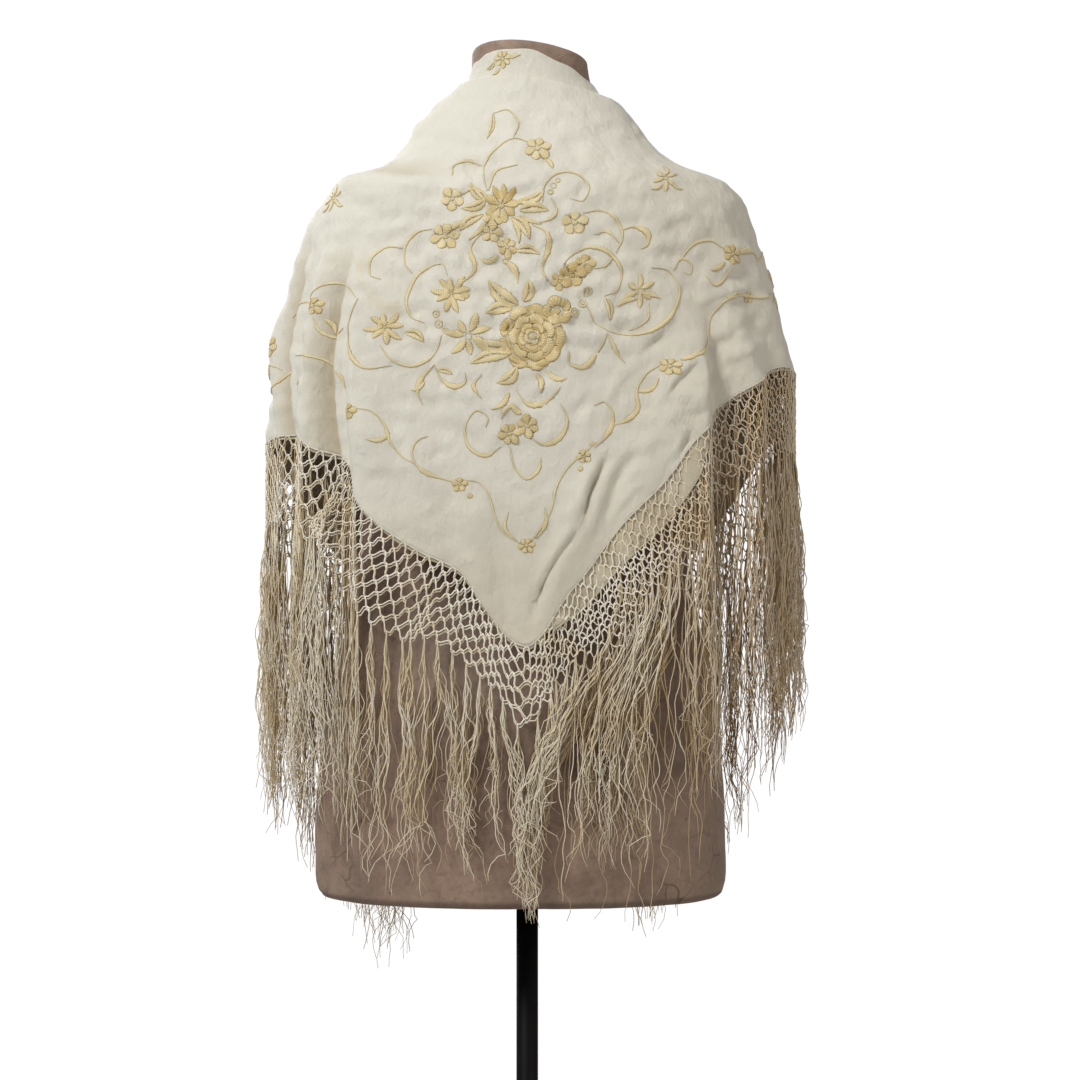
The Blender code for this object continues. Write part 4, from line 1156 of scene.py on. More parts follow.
# Designs, in millimetres of girth and height: motif, spots, settings. First the large bouquet in the middle.
MIDDLE_BOUQUET = (
    (rose, (5, 1141), 30, 0.4), (round_petals, (27, 1164), 8.5, 9.0, 5, 0.6, 0.75, 1.0),
    (berry, (27, 1164), 3.4, 0.7), (leaf, (-7, 1169), (-34, 1192), 7.5, 0.1, 0.45),
    (leaf, (-12, 1166), (-36, 1162), 6.5, -0.12, 0.35), (leaf, (-2, 1172), (2, 1192), 5.5, -0.12, 0.55),
    (leaf, (-16, 1133), (-47, 1138), 6.5, 0.1, 0.4), (leaf, (-16, 1125), (-50, 1117), 6.5, -0.1, 0.3),
    (leaf, (-8, 1114), (-26, 1100), 6.0, 0.14, 0.45), (petal, (8, 1108), (12, 1092), 3.2, 0.2, 0.35),
    (petal, (18, 1112), (36, 1104), 3.4, -0.2, 0.4), (star, (-51, 1142), 19, 7, 0.35, 0.4),
    (star, (-67, 1180), 16, 9, 0.2, 0.45), (bloom, (-67, 1180), 8, 6, 0.5, 0.35),
    (berry, (-54, 1178), 4.0, 0.65),
    (stem, ((-57, 1188), (-46, 1203), (-50, 1220), (-40, 1233)), 0.7, 1.5, 0.45, 0.45),
    (eyed_ring, (-80, 1162), 3.0), (eyed_ring, (-78, 1153), 3.4), (eyed_ring, (-72, 1147), 2.6),
    (stem, ((-70, 1196), (-74, 1206), (-90, 1203), (-103, 1188), (-107, 1172), (-101, 1158),
     (-91, 1154)), 0.6, 1.1, 0.55, 0.25), (bloom, (-73, 1231), 12, 6, 0.2, 0.35),
    (petal, (-66, 1238), (-52, 1241), 2.6, 0.2, 0.4),
    (stem, ((-84, 1238), (-98, 1236), (-109, 1224), (-109, 1208), (-102, 1198)), 0.55, 0.9, 0.4, 0.25),
    (stem, ((-110, 1222), (-128, 1222), (-140, 1209), (-138, 1197), (-129, 1193)), 0.55, 0.8, 0.5, 0.25),
    (star, (-124, 1150), 14.5, 8, 0.1, 0.45), (bloom, (-124, 1150), 6, 5, 0.4, 0.6),
    (leaf, (-108, 1146), (-91, 1137), 4.5, 0.15, 0.35),
    (stem, ((-146, 1176), (-153, 1155), (-152, 1133), (-138, 1114), (-118, 1116)), 0.6, 1.2, 0.6, 0.25),
    (stem, ((-127, 1134), (-116, 1120), (-98, 1116), (-82, 1126), (-75, 1143)), 0.55, 0.8, 0.5, 0.25),
    (stem, ((-82, 1117), (-92, 1106), (-96, 1093), (-92, 1081)), 0.5, 1.9, 0.5, 0.35),
    (stem, ((-82, 1117), (-75, 1103), (-64, 1097), (-55, 1100), (-54, 1110)), 0.5, 2.0, 0.6, 0.4),
    (leaf, (-79, 1112), (-65, 1108), 3.0, 0.1), (petal, (-90, 1102), (-102, 1094), 1.8, 0.2, 0.3),
    (bloom, (-66, 1265), 10, 5, 0.9, 0.35),
    (stem, ((-58, 1269), (-46, 1274), (-34, 1266)), 0.8, 0.6, 0.6, 0.35),
    (petal, (-24, 1264), (-30, 1277), 3.4, 0.0, 1.25), (petal, (-20, 1265), (-20, 1279), 3.4, 0.0, 1.15),
    (petal, (-17, 1264), (-10, 1276), 3.2, 0.0, 1.25), (petal, (-28, 1262), (-40, 1272), 2.6, 0.1, 0.95),
    (petal, (-10, 1260), (4, 1268), 2.4, -0.1, 0.9), (petal, (-36, 1244), (-52, 1228), 2.2, 0.1, 0.55),
    (petal, (-12, 1244), (-6, 1224), 2.2, 0.1, 0.45), (petal, (-5, 1250), (14, 1242), 2.2, -0.1, 0.5),
    (bloom, (-22, 1258), 14, 8, 0.2, 0.65, 0.16), (bloom, (-30, 1247), 8, 5, 0.8, 0.55),
    (ring, (-30, 1247), 2.6), (leaf, (-36, 1264), (-58, 1256), 4.8, 0.12, 0.35),
    (leaf, (-38, 1250), (-60, 1236), 5.2, -0.1, 0.45), (leaf, (-8, 1262), (16, 1272), 5.0, -0.12, 0.4),
    (leaf, (-6, 1254), (20, 1254), 5.4, 0.12, 0.4), (leaf, (-14, 1248), (2, 1228), 5.6, 0.16, 0.4),
    (leaf, (-36, 1262), (-50, 1280), 4.0, 0.12, 0.4), (bloom, (-31, 1234), 8.5, 5, 0.1, 0.45),
    (bloom, (-17, 1221), 9, 6, 0.6, 0.55), (leaf, (-9, 1218), (12, 1214), 4.4, 0.15, 0.3),
    (petal, (-26, 1214), (-42, 1212), 2.4, 0.3, 0.35),
    (petal, (-18, 1208), (-8, 1188), 3.2, 0.18, 0.3, 0.7),
    (ring, (-19, 1209), 2.2), (bloom, (10, 1312), 11, 6, 0.3, 0.3),
    (petal, (18, 1302), (23, 1293), 2.4, 0.1, 0.35),
    (stem, ((1, 1318), (-9, 1322), (-26, 1314), (-37, 1298), (-38, 1282), (-35, 1272)), 0.5, 0.5, 0.5, 0.2),
    (stem, ((-12, 1322), (-8, 1338), (-17, 1351), (-29, 1348)), 0.45, 0.4, 0.5, 0.2),
    (leaf, (-30, 1349), (-36, 1322), 2.8, 0.05, 0.25),
    (stem, ((-39, 1296), (-54, 1302), (-65, 1297), (-67, 1287)), 0.5, 0.9, 0.4, 0.25),
    (stem, ((-34, 1272), (-28, 1290), (-8, 1296)), 0.5, 0.9, 0.4, 0.25),
    (stem, ((14, 1262), (16, 1278), (28, 1289), (44, 1288), (56, 1274), (50, 1263),
     (38, 1265)), 0.5, 0.5, 0.4, 0.2), (ring, (24, 1277), 2.4), (ring, (28, 1282), 2.0),
    (ring, (21, 1271), 2.0), (stem, ((22, 1266), (27, 1254), (18, 1245), (4, 1243)), 0.5, 0.8, 0.4, 0.25),
    (bloom, (43, 1243), 10.5, 5, 1.57, 0.4),
    (stem, ((50, 1252), (66, 1255), (81, 1246), (86, 1231), (80, 1216)), 0.55, 0.7, 0.6, 0.25),
    (stem, ((85, 1237), (97, 1240), (109, 1234), (108, 1223), (103, 1221)), 0.6, 2.2, 0.55, 0.5),
    (stem, ((83, 1226), (72, 1236), (60, 1233)), 0.5, 1.0, 0.5, 0.3),
    (stem, ((4, 1241), (18, 1234), (19, 1217), (13, 1203), (18, 1190)), 0.7, 1.8, 0.45, 0.45),
    (bloom, (41, 1196), 11, 5, 0.3, 0.9), (bloom, (29, 1190), 8, 5, 0.9, 0.75),
    (bloom, (52, 1206), 9, 5, 0.2, 0.85), (ring, (41, 1196), 3.6), (ring, (29, 1190), 2.6),
    (stem, ((33, 1205), (44, 1217), (62, 1221), (78, 1212), (85, 1198), (81, 1184),
     (69, 1177)), 0.55, 1.3, 0.5, 0.4), (stem, ((58, 1202), (70, 1205), (78, 1214)), 0.5, 0.6, 0.5, 0.3),
    (double_ring, (54, 1182)), (double_ring, (50, 1171)), (double_ring, (42, 1163)),
    (star, (101, 1183), 14, 6, 0.5, 0.35), (petal, (98, 1176), (80, 1168), 2.8, -0.1, 0.35),
    (petal, (104, 1180), (120, 1176), 2.4, 0.1, 0.3), (ring, (101, 1183), 3.2, 0.9, 0.5),
    (stem, ((112, 1204), (128, 1202), (138, 1187), (132, 1166), (113, 1148), (84, 1144), (61, 1154),
     (53, 1170)), 0.6, 1.1, 0.42, 0.25), (stem, ((110, 1172), (108, 1158), (92, 1147)), 0.5, 0.4, 0.5, 0.2),
    (leaf, (70, 1176), (74, 1156), 3.4, 0.1, 0.4),
    (stem, ((133, 1202), (142, 1213), (151, 1208), (149, 1199), (143, 1201)), 0.5, 0.5, 0.4, 0.25),
    (stem, ((71, 1144), (62, 1126), (49, 1114), (37, 1119), (37, 1128)), 0.6, 1.6, 0.55, 0.35),
    (stem, ((72, 1144), (80, 1128), (88, 1118)), 0.6, 1.2, 0.5, 0.3),
    (stem, ((-9, 1094), (2, 1081), (16, 1083), (30, 1096)), 0.6, 2.6, 0.5, 0.45),
    (petal, (-16, 1092), (-31, 1077), 2.6, 0.2, 0.4), (petal, (-12, 1080), (-22, 1068), 2.0, -0.2, 0.35),
    (stem, ((-40, 1108), (-47, 1098), (-40, 1086)), 0.5, 1.5, 0.5, 0.4),
    (bloom, (-15, 1055), 9.5, 6, 0.2, 0.55), (bloom, (1, 1062), 9.5, 6, 0.7, 0.6),
    (petal, (-4, 1073), (-14, 1082), 3.2, 0.1, 0.4),
    (stem, ((30, 1082), (36, 1068), (30, 1052), (14, 1046), (4, 1052)), 0.6, 1.9, 0.62, 0.4),
    (stem, ((-36, 1061), (-34, 1069), (-43, 1076), (-54, 1062), (-50, 1042), (-36, 1036),
     (-23, 1044)), 0.55, 1.2, 0.85, 0.35),
    (stem, ((-15, 1044), (-10, 1024), (0, 1015), (10, 1022), (13, 1034)), 0.45, 1.2, 0.85, 0.25),
)
# The vines that run down both sides of the back and meet above the point, and the loose flowers beside them
BACK_VINES = (
    (stem, ((284, 1194), (252, 1188), (224, 1182), (203, 1183), (181, 1175), (169, 1159),
     (162, 1141)), 0.6, 0.6, 0.5, 0.3), (bloom, (126, 1115), 8, 6, 0.3, 0.5),
    (petal, (134, 1121), (152, 1131), 2.4, -0.1, 0.35),
    (stem, ((166, 1150), (158, 1132), (135, 1120)), 0.5, 1.4, 0.5, 0.35),
    (stem, ((118, 1116), (106, 1108), (98, 1094), (98, 1076), (88, 1067), (76, 1062)), 0.6, 1.7, 0.75,
     0.35),
    (petal, (99, 1093), (117, 1105), 2.4, -0.22, 0.35),
    (stem, ((60, 1080), (68, 1084), (76, 1076), (76, 1064), (70, 1053), (60, 1043)), 0.5, 2.0, 0.65, 0.4),
    (bloom, (51, 1035), 6.0, 5, 0.6, 0.5), (berry, (58, 1046), 2.4, 0.75), (berry, (48, 1024), 2.6, 0.75),
    (stem, ((62, 1048), (46, 1034), (34, 1022), (26, 1006), (22, 988), (14, 974),
     (4, 960)), 0.5, 0.4, 0.5, 0.2), (bloom, (0, 956), 6.8, 6, 0.2, 0.55),
    (stem, ((16, 990), (17, 976), (8, 962)), 0.6, 1.2, 0.5, 0.35),
    (stem, ((-16, 986), (-19, 972), (-8, 960)), 0.6, 1.0, 0.5, 0.3), (bloom, (-149, 1075), 7, 5, 0.2, 0.7),
    (stem, ((-143, 1078), (-131, 1075), (-121, 1062), (-116, 1047), (-107, 1035),
     (-96, 1028)), 0.5, 0.5, 0.5, 0.25),
    (stem, ((-98, 1031), (-90, 1022), (-77, 1016), (-63, 1012)), 0.55, 1.5, 0.35, 0.35),
    (stem, ((-95, 1026), (-99, 1040), (-94, 1050), (-87, 1053)), 0.45, 0.5, 0.5, 0.25),
    (petal, (-117, 1056), (-134, 1051), 2.2, 0.25, 0.3), (bloom, (-59, 1010), 6.5, 5, 0.3, 0.7),
    (berry, (-50, 1000), 2.7, 0.85),
    (stem, ((-56, 1014), (-44, 1013), (-34, 1003), (-29, 985), (-20, 967), (-6, 958)), 0.45, 0.4, 0.5, 0.2),
    (stem, ((-224, 1129), (-198, 1128), (-180, 1122), (-168, 1111), (-157, 1096)), 0.5, 0.5, 0.5, 0.25),
    (petal, (-166, 1110), (-158, 1098), 2.0, 0.1, 0.35), (bloom, (-190, 1172), 8, 6, 0.3, 0.55),
    (petal, (-182, 1160), (-174, 1146), 2.6, 0.15, 0.4),
    (stem, ((-196, 1180), (-182, 1191), (-163, 1190), (-148, 1177)), 0.5, 0.6, 0.4, 0.25),
    (stem, ((-190, 1162), (-184, 1148), (-171, 1143), (-162, 1151)), 0.5, 0.8, 0.5, 0.25),
    (stem, ((-204, 1172), (-216, 1178), (-232, 1176), (-244, 1166)), 0.5, 0.6, 0.5, 0.3),
    (stem, ((140, 1210), (152, 1226), (172, 1231), (186, 1224)), 0.6, 1.0, 0.5, 0.3),
    (bloom, (194, 1220), 9.5, 6, 0.4, 0.65), (petal, (204, 1222), (226, 1224), 3.2, 0.1, 0.45),
    (stem, ((224, 1224), (246, 1220), (262, 1230)), 0.5, 0.7, 0.4, 0.3),
    (stem, ((190, 1208), (184, 1196), (172, 1190), (164, 1199)), 0.5, 1.0, 0.5, 0.35),
    (petal, (184, 1212), (170, 1204), 2.6, 0.1, 0.5), (petal, (-240, 1160), (-238, 1146), 2.6, 0.1, 0.35),
    (berry, (-219, 1104), 2.6, 0.7), (stem, ((-264, 1096), (-248, 1110), (-231, 1119)), 0.6, 1.5, 0.5, 0.4),
    (bloom, (212, 1182), 5.5, 5, 0.3, 0.5), (petal, (196, 1186), (184, 1180), 2.2, 0.2, 0.45),
)
# A small star with two leaves under it, high on each side of the back, and where the two go
LEAFY_STAR = (
    (star, (0, 0), 12, 6, 0.4, 0.35), (petal, (-4, -6), (-16, -12), 2.0, 0.1, 0.3),
    (petal, (6, -5), (17, -10), 2.0, -0.1, 0.3),
)
LEAFY_STAR_SPOTS = ((127, 1287), (-191, 1274))
# The half bouquet on each end of the border vine, measured from its rose
END_BOUQUET = (
    (rose, (0, 0), 20, 0.2),
    (leaf, (-11, 15), (-25, 31), 5.5, 0.1), (leaf, (9, 17), (18, 36), 5.5, -0.1),
    (leaf, (-18, -8), (-36, -15), 5.5, 0.12), (leaf, (13, -14), (25, -29), 5.5, -0.12),
    (bloom, (-4, 50), 11, 6, 0.5),
    (stem, ((0, 24), (6, 40), (-2, 62), (-18, 70), (-26, 58)), 0.6, 1.1, 0.5, 0.3),
    (bloom, (-18, -30), 9, 5, 0.5, 0.6), (star, (20, 66), 11, 7, 0.2, 0.4),
    (stem, ((-26, 10), (-42, 22), (-44, 40), (-34, 44)), 0.5, 0.9, 0.5, 0.3),
    (stem, ((24, -4), (34, 8), (32, 26), (22, 28)), 0.5, 0.9, 0.5, 0.3),
)
# The small spray on the neck fold
COLLAR_SPRAY = (
    (bloom, (-23, 1403), 8.0, 7, 0.3, 0.4), (petal, (-15, 1403), (-6, 1406), 2.0, 0.1, 0.3),
    (leaf, (-31, 1401), (-41, 1395), 2.6, 0.1, 0.3), (petal, (-26, 1395), (-34, 1389), 1.8, 0.1, 0.4),
)


def border_spots(along, away):
    """Girth and height, in millimetres, of places given by their length along the hem from the middle of
    the back, and their distance above it, square to the smoothed hem line."""
    across = HEM["across"]
    girth = girth_at(across, HEM["outer"]) / MM
    line = np.stack([girth, HEM["outer"] / MM], axis=-1)
    length = np.concatenate([[0.0], np.cumsum(np.linalg.norm(np.diff(line, axis=0), axis=1))])
    length -= np.interp(0.0, across, length)
    even = np.arange(length[0], length[-1], 4.0)
    window = np.hanning(31)
    window /= window.sum()

    def softened(level):
        padded = np.pad(level, len(window) // 2, mode="reflect", reflect_type="odd")
        return np.convolve(padded, window, mode="valid")

    soft = np.stack([softened(np.interp(even, length, line[:, c])) for c in (0, 1)], axis=-1)
    above = square_to(unit(np.gradient(soft, axis=0)))
    place, out = (np.stack([np.interp(along, even, found[:, c]) for c in (0, 1)], axis=-1)
                  for found in (soft, above))
    return place + unit(out) * np.asarray(away, float)[..., None]


def vine_height(further):
    """How high above the hem the border vine runs, in millimetres, at a length from its start: a sine
    wave."""
    return 62 + 11 * np.sin(further * 2 * np.pi / 92)


def side_vines():
    """The border vine that runs above the hem round both sides to the fronts, waving as a sine, with a
    flower, a curl, a leaf and berries by turns every 46 mm, and a half bouquet on each end. What would
    pass a front edge is left out."""
    work = []
    for side, first, last, bouquet_height in ((-1, 330, 632, 1120), (1, 378, 672, 1155)):
        marks = np.arange(first, last, 15.0)
        vine = border_spots(side * marks, vine_height(marks - first))
        for piece in np.array_split(np.arange(len(vine)), 4):
            work += stem(vine[piece[0]:piece[-1] + 2], 0.5, 0.35, 0.5, 0.25)
        for k, mark in enumerate(np.arange(first + 12, last - 4, 46.0)):
            along = side * (mark + np.array([0, 0, 14, 6, 18]))
            above_hem = vine_height(mark - first) + np.array([0, 16, 12, -13, -20])
            at, up, over, low, further = border_spots(along, above_hem)
            if k % 3 == 0:
                work += bloom(up, 9.5, 6, 0.4 * k, 0.50) + leaf(at, low, 4.0, 0.1, 0.35)
            elif k % 3 == 1:
                work += stem([at, up, over, (at + over) / 2], 0.5, 1.3, 0.5, 0.35)
                work += leaf(low, further, 3.6, -0.1) + berry(low, 2.6, 0.7)
            else:
                work += star(up, 11.5, 7, 0.3 * k, 0.40) + berry(further, 2.4, 0.75) + berry(low, 2.8, 0.6)
                work += petal(at, low, 2.4, 0.2, 0.4)
        girth = girth_at(np.array(side * 0.79), np.array(bouquet_height * MM)) / MM
        work += worked(END_BOUQUET, (float(girth), bouquet_height))
    front_edge = 0.975
    return [stroke for stroke in work if np.abs(across_at(*(stroke[0] * MM).T)).max() < front_edge]


def lay_strokes(name, strokes, face, material):
    """Strokes as one piece on the cloth. A stroke's cross section is a low dome, sqrt(1 - (0.93 u)^2) at
    the place u of its half width, with its two edges sunk and closed below. Every point is set off from
    the cloth's face by its height on the dome and the lift of all strokes. UV is u and the length along
    the stroke in metres."""
    section = np.array([-1.0, -0.72, -0.28, 0.28, 0.72, 1.0])
    dome = np.sqrt(np.maximum(1 - (section * 0.93) ** 2, 0.0))
    wide, total = len(section), 0
    spots, lifts, uvs, tones, walls, caps = [], [], [], [], [], []
    for line, half, rise, tone in strokes:
        side = square_to(unit(np.gradient(line, axis=0)))
        spots.append((line[:, None] + side[:, None] * (half[:, None] * section)[..., None]).reshape(-1, 2))
        lift = np.minimum(rise, 0.25 + 1.1 * half)[:, None] * dome
        lift[:, 0] = lift[:, -1] = -STROKE_SUNK
        lifts.append(lift.ravel())
        length = np.concatenate([[0.0], np.cumsum(np.linalg.norm(np.diff(line, axis=0), axis=1))])
        uvs.append(np.stack(np.broadcast_arrays(section, length[:, None] * MM), axis=-1).reshape(-1, 2))
        tones.append(np.full(lift.size, tone))
        walls.append(grid_faces(len(line), wide, closed=True) + total)
        low = np.arange(wide) + total
        caps.append(np.stack([low[::-1], low + lift.size - wide]))
        total += lift.size
    girth, height = (np.concatenate(spots) * MM).T
    points = cloth_at(across_at(girth, height), height, face + (np.concatenate(lifts) + STROKE_LIFT) * MM)
    faces = [np.concatenate(walls), np.concatenate(caps)]
    return add_piece(name, points, faces, material, uv=np.concatenate(uvs),
                     tone=np.concatenate(tones))


def build_torso(material):
    """The dress form: rounded sections skinned from the base to the neck, with the top tilted, both rims
    rounded over by a quarter circle, closed by rings that shrink to a point, and lumps of under half a
    millimetre."""
    around, rim = 120, 0.005
    quarter = np.linspace(0, np.pi / 2, 6)
    rounded = rim * (1 - np.cos(quarter))
    inset = np.concatenate([rounded[::-1], np.zeros(102), rounded])[:, None]
    levels = np.concatenate([FORM_BOTTOM + rim - rim * np.sin(quarter[::-1]),
                             np.linspace(FORM_BOTTOM + rim, FORM_TOP - rim, 104)[1:-1],
                             FORM_TOP - rim + rim * np.sin(quarter)])
    left, right, back, front, square = (column[:, None] for column in columns(FORM_SECTIONS, levels))
    angle = np.arange(around) * 2 * np.pi / around
    flat = section_point(left - inset, right - inset, back - inset, front - inset, square, angle)
    closing = np.array([0.05, 0.35, 0.7])[:, None, None]
    flat = np.concatenate([flat[0] * closing, flat, flat[-1] * closing[::-1]])
    levels = np.pad(levels, 3, mode="edge")
    slope = TOP_TILT * smooth_step(FORM_TOP - 0.015, FORM_TOP, levels)[:, None]
    tilt = slope * (flat[..., 0] / FORM_SECTIONS[-1, 2] + flat[..., 1] / FORM_SECTIONS[-1, 3])
    points = np.concatenate([flat, (levels[:, None] - tilt)[..., None]], axis=-1)
    out = unit(np.concatenate([flat, flat[..., :1] * 0], axis=-1))
    dents = np.minimum(ripples(points, 21, (0.02, 0.12), 0.0010), 0.0004)
    edge = smooth_step(FORM_BOTTOM + 0.05, FORM_BOTTOM, levels)[:, None]
    dents = dents + edge * (np.minimum(ripples(points, 22, (0.012, 0.05), 0.0014), 0.0) - 0.0002)
    points += out * dents[..., None]
    poles = np.array([points[0].mean(axis=0), points[-1].mean(axis=0)])
    rings, count = len(points), len(points) * around
    faces = [grid_faces(rings, around, closed=True), fan(count, 0, around, False),
             fan(count + 1, count - around, around, True)]
    return add_piece("papier_mache_form", np.concatenate([points.reshape(-1, 3), poles]), faces, material)


def turned(name, profile, material, around=96):
    """A shape turned round the pole's axis: each profile point (radius, height), from the top's middle
    down the outside to the underside's middle, swept round a circle. The two middles are single
    points."""
    profile = np.array(profile)
    rings = profile[1:-1]
    flat = rings[:, None, :1] * circle(around)
    points = np.concatenate([flat, np.broadcast_to(rings[:, None, 1:], flat.shape[:2] + (1,))], axis=-1)
    ends = np.array([(0.0, 0.0, profile[0, 1]), (0.0, 0.0, profile[-1, 1])])
    count = len(rings) * around
    faces = [grid_faces(len(rings), around, closed=True)[:, ::-1], fan(count, 0, around, True),
             fan(count + 1, count - around, around, False)]
    return add_piece(name, np.concatenate([points.reshape(-1, 3), ends]), faces, material)


def corner(radius, height, size, steps=5, lower=False):
    """Profile points of a corner rounded over by a quarter circle, at an outer edge."""
    a = np.linspace(0, np.pi / 2, steps)
    over = radius - size + size * np.sin(a)
    down = height - size + size * np.cos(a)
    if lower:
        return list(zip(over[::-1], 2 * height - down[::-1]))
    return list(zip(over, down))


def build_stand(material):
    """The foot, socket, pole and plate, all turned, with small rounded edges."""
    hub_top = FOOT_THICKNESS + 0.002
    base = hub_top + TOUCH
    plate_top = FORM_BOTTOM - TOUCH
    plate_bottom = plate_top - 0.008
    pole_top = plate_bottom - TOUCH
    foot = [(0, hub_top), *corner(0.030, hub_top, 0.0012),
            (0.060, 0.0074), (0.110, 0.0068), (0.160, 0.0062),
            *corner(FOOT_RADIUS, FOOT_THICKNESS, 0.0035), *corner(FOOT_RADIUS, 0.0, 0.0008, lower=True),
            (0, 0)]
    socket = [(0, base + 0.0402), *corner(0.021, base + 0.040, 0.003),
              *corner(0.021, base, 0.0006, lower=True)]
    pole = [(0, pole_top), (POLE_RADIUS, pole_top), (POLE_RADIUS, 0.30), (POLE_RADIUS, base)]
    plate = [(0, plate_top), *corner(0.040, plate_top, 0.0006),
             *corner(0.040, plate_bottom, 0.002, lower=True)]
    return {
        "stand_foot": turned("steel_foot", foot, material, 144),
        "stand_socket": turned("steel_socket", socket + [(0, base)], material),
        "stand_pole": turned("steel_pole", pole + [(0, base)], material, 48),
        "stand_plate": turned("steel_plate", plate + [(0, plate_bottom)], material),
    }


# Materials


class Tree:
    """Short ways to add and join nodes in one node tree."""

    def __init__(self, tree):
        self.tree = tree

    def feed(self, socket, value):
        """Joins an output to a socket, or sets the socket's own value."""
        if isinstance(value, bpy.types.NodeSocket):
            self.tree.links.new(value, socket)
        else:
            socket.default_value = value

    def add(self, kind, inputs, **settings):
        """A new node with its settings and fed inputs. Returns its outputs."""
        made = self.tree.nodes.new(kind)
        for name, value in settings.items():
            setattr(made, name, value)
        for socket, value in inputs.items():
            self.feed(made.inputs[socket], value)
        return made.outputs

    def math(self, operation, first, second=0.0, third=0.0, clamp=False):
        """A Math node's result."""
        return self.add("ShaderNodeMath", {0: first, 1: second, 2: third}, operation=operation,
                        use_clamp=clamp)[0]

    def times(self, first, second):
        return self.math("MULTIPLY", first, second)

    def plus(self, first, second):
        return self.math("ADD", first, second)

    def scaled(self, value, factor, offset):
        """value x factor + offset"""
        return self.math("MULTIPLY_ADD", value, factor, offset)

    def off_middle(self, value):
        """How far a value lies from one half."""
        return self.math("ABSOLUTE", self.math("SUBTRACT", value, 0.5))

    def spread(self, value, low, high, to_low=0.0, to_high=1.0):
        """A value's range mapped smoothly onto another."""
        return self.add("ShaderNodeMapRange", {0: value, 1: low, 2: high, 3: to_low, 4: to_high},
                        interpolation_type="SMOOTHSTEP")[0]

    def noise(self, vector, scale, detail=3.0, roughness=0.5, distortion=0.0):
        return self.add("ShaderNodeTexNoise", {"Vector": vector, "Scale": scale, "Detail": detail,
                                               "Roughness": roughness, "Distortion": distortion})["Fac"]

    def wave(self, vector, scale, distortion, direction, detail=1.0):
        return self.add("ShaderNodeTexWave", {"Vector": vector, "Scale": scale, "Distortion": distortion,
                                              "Detail": detail}, bands_direction=direction)["Fac"]

    def cells(self, vector, scale, feature="F1"):
        return self.add("ShaderNodeTexVoronoi", {"Vector": vector, "Scale": scale},
                        feature=feature)["Distance"]

    def mix(self, share, first, second):
        """Two colours mixed by a share."""
        return self.add("ShaderNodeMix", {0: share, 6: first, 7: second}, data_type="RGBA")[2]

    def coats(self, colour, *coats):
        """Tints laid over a colour one after another: each with its mask, how much of it covers, and the
        tint."""
        for mask, amount, tint in coats:
            colour = self.mix(self.times(mask, amount), colour, rgba(*tint))
        return colour

    def bump(self, height, strength, distance):
        return self.add("ShaderNodeBump", {"Height": height, "Strength": strength,
                                           "Distance": distance})["Normal"]

    def place(self):
        """The place on the piece, which is the place in the frame."""
        return self.add("ShaderNodeTexCoord", {})["Object"]

    def axes(self, vector):
        return self.add("ShaderNodeSeparateXYZ", {0: vector})

    def tone(self):
        """The number that each piece carries for its points."""
        return self.add("ShaderNodeAttribute", {}, attribute_name="tone")["Fac"]

    def group(self, name, **given):
        """One of the shared groups, placed and fed."""
        return self.add("ShaderNodeGroup", given, node_tree=GROUPS[name])

    def dress(self, **given):
        """Feeds the shader's sockets, named with underscores for spaces."""
        for socket, value in given.items():
            self.feed(self.tree.nodes["Principled BSDF"].inputs[socket.replace("_", " ")], value)


def new_group(name, inputs, outputs):
    """An empty shader group with named sockets, and its input and output nodes' sockets. The first input
    is a vector, and the others are numbers, each with its usual value."""
    tree = bpy.data.node_groups.new(name, "ShaderNodeTree")
    tree.interface.new_socket("Vector", in_out="INPUT", socket_type="NodeSocketVector")
    for socket, value in inputs.items():
        made = tree.interface.new_socket(socket, in_out="INPUT", socket_type="NodeSocketFloat")
        made.default_value = value
    for socket in outputs:
        tree.interface.new_socket(socket, in_out="OUTPUT", socket_type="NodeSocketFloat")
    return Tree(tree), tree.nodes.new("NodeGroupInput").outputs, tree.nodes.new("NodeGroupOutput").inputs


def rgba(red, green, blue):
    """A colour given as 0 to 255 on a screen, as the linear colour that the shader takes."""
    screen = np.array([red, green, blue]) / 255
    linear = np.where(screen <= 0.04045, screen / 12.92, ((screen + 0.055) / 1.055) ** 2.4)
    return (*linear.tolist(), 1.0)


def crepe_group():
    """Crepe silk: a fine crossed thread grain and soft crinkles, as a height, and a slow change of tone."""
    g, given, out = new_group("crepe_weave", {"Grain": 1500.0, "Crinkle": 1.0}, ("Height", "Tone"))
    warp, weft = (g.wave(given["Vector"], given["Grain"], 1.5, direction, 2.0) for direction in "XZ")
    slanted = g.add("ShaderNodeMapping", {"Vector": given["Vector"], "Rotation": (0.0, 0.62, 0.0),
                                          "Scale": (1.0, 1.0, 0.66)})[0]
    crumple = g.noise(slanted, 95.0, 5.0, 0.62, 0.3)
    ridges = g.off_middle(g.noise(slanted, 26.0, 3.0, 0.5, 0.35))
    soft = g.plus(g.times(crumple, 0.62), g.times(ridges, -1.25))
    g.feed(out["Height"], g.scaled(soft, given["Crinkle"], g.times(g.plus(warp, weft), 0.022)))
    g.feed(out["Tone"], g.noise(given["Vector"], 7.0, 3.0, 0.5, 0.3))
    return g.tree


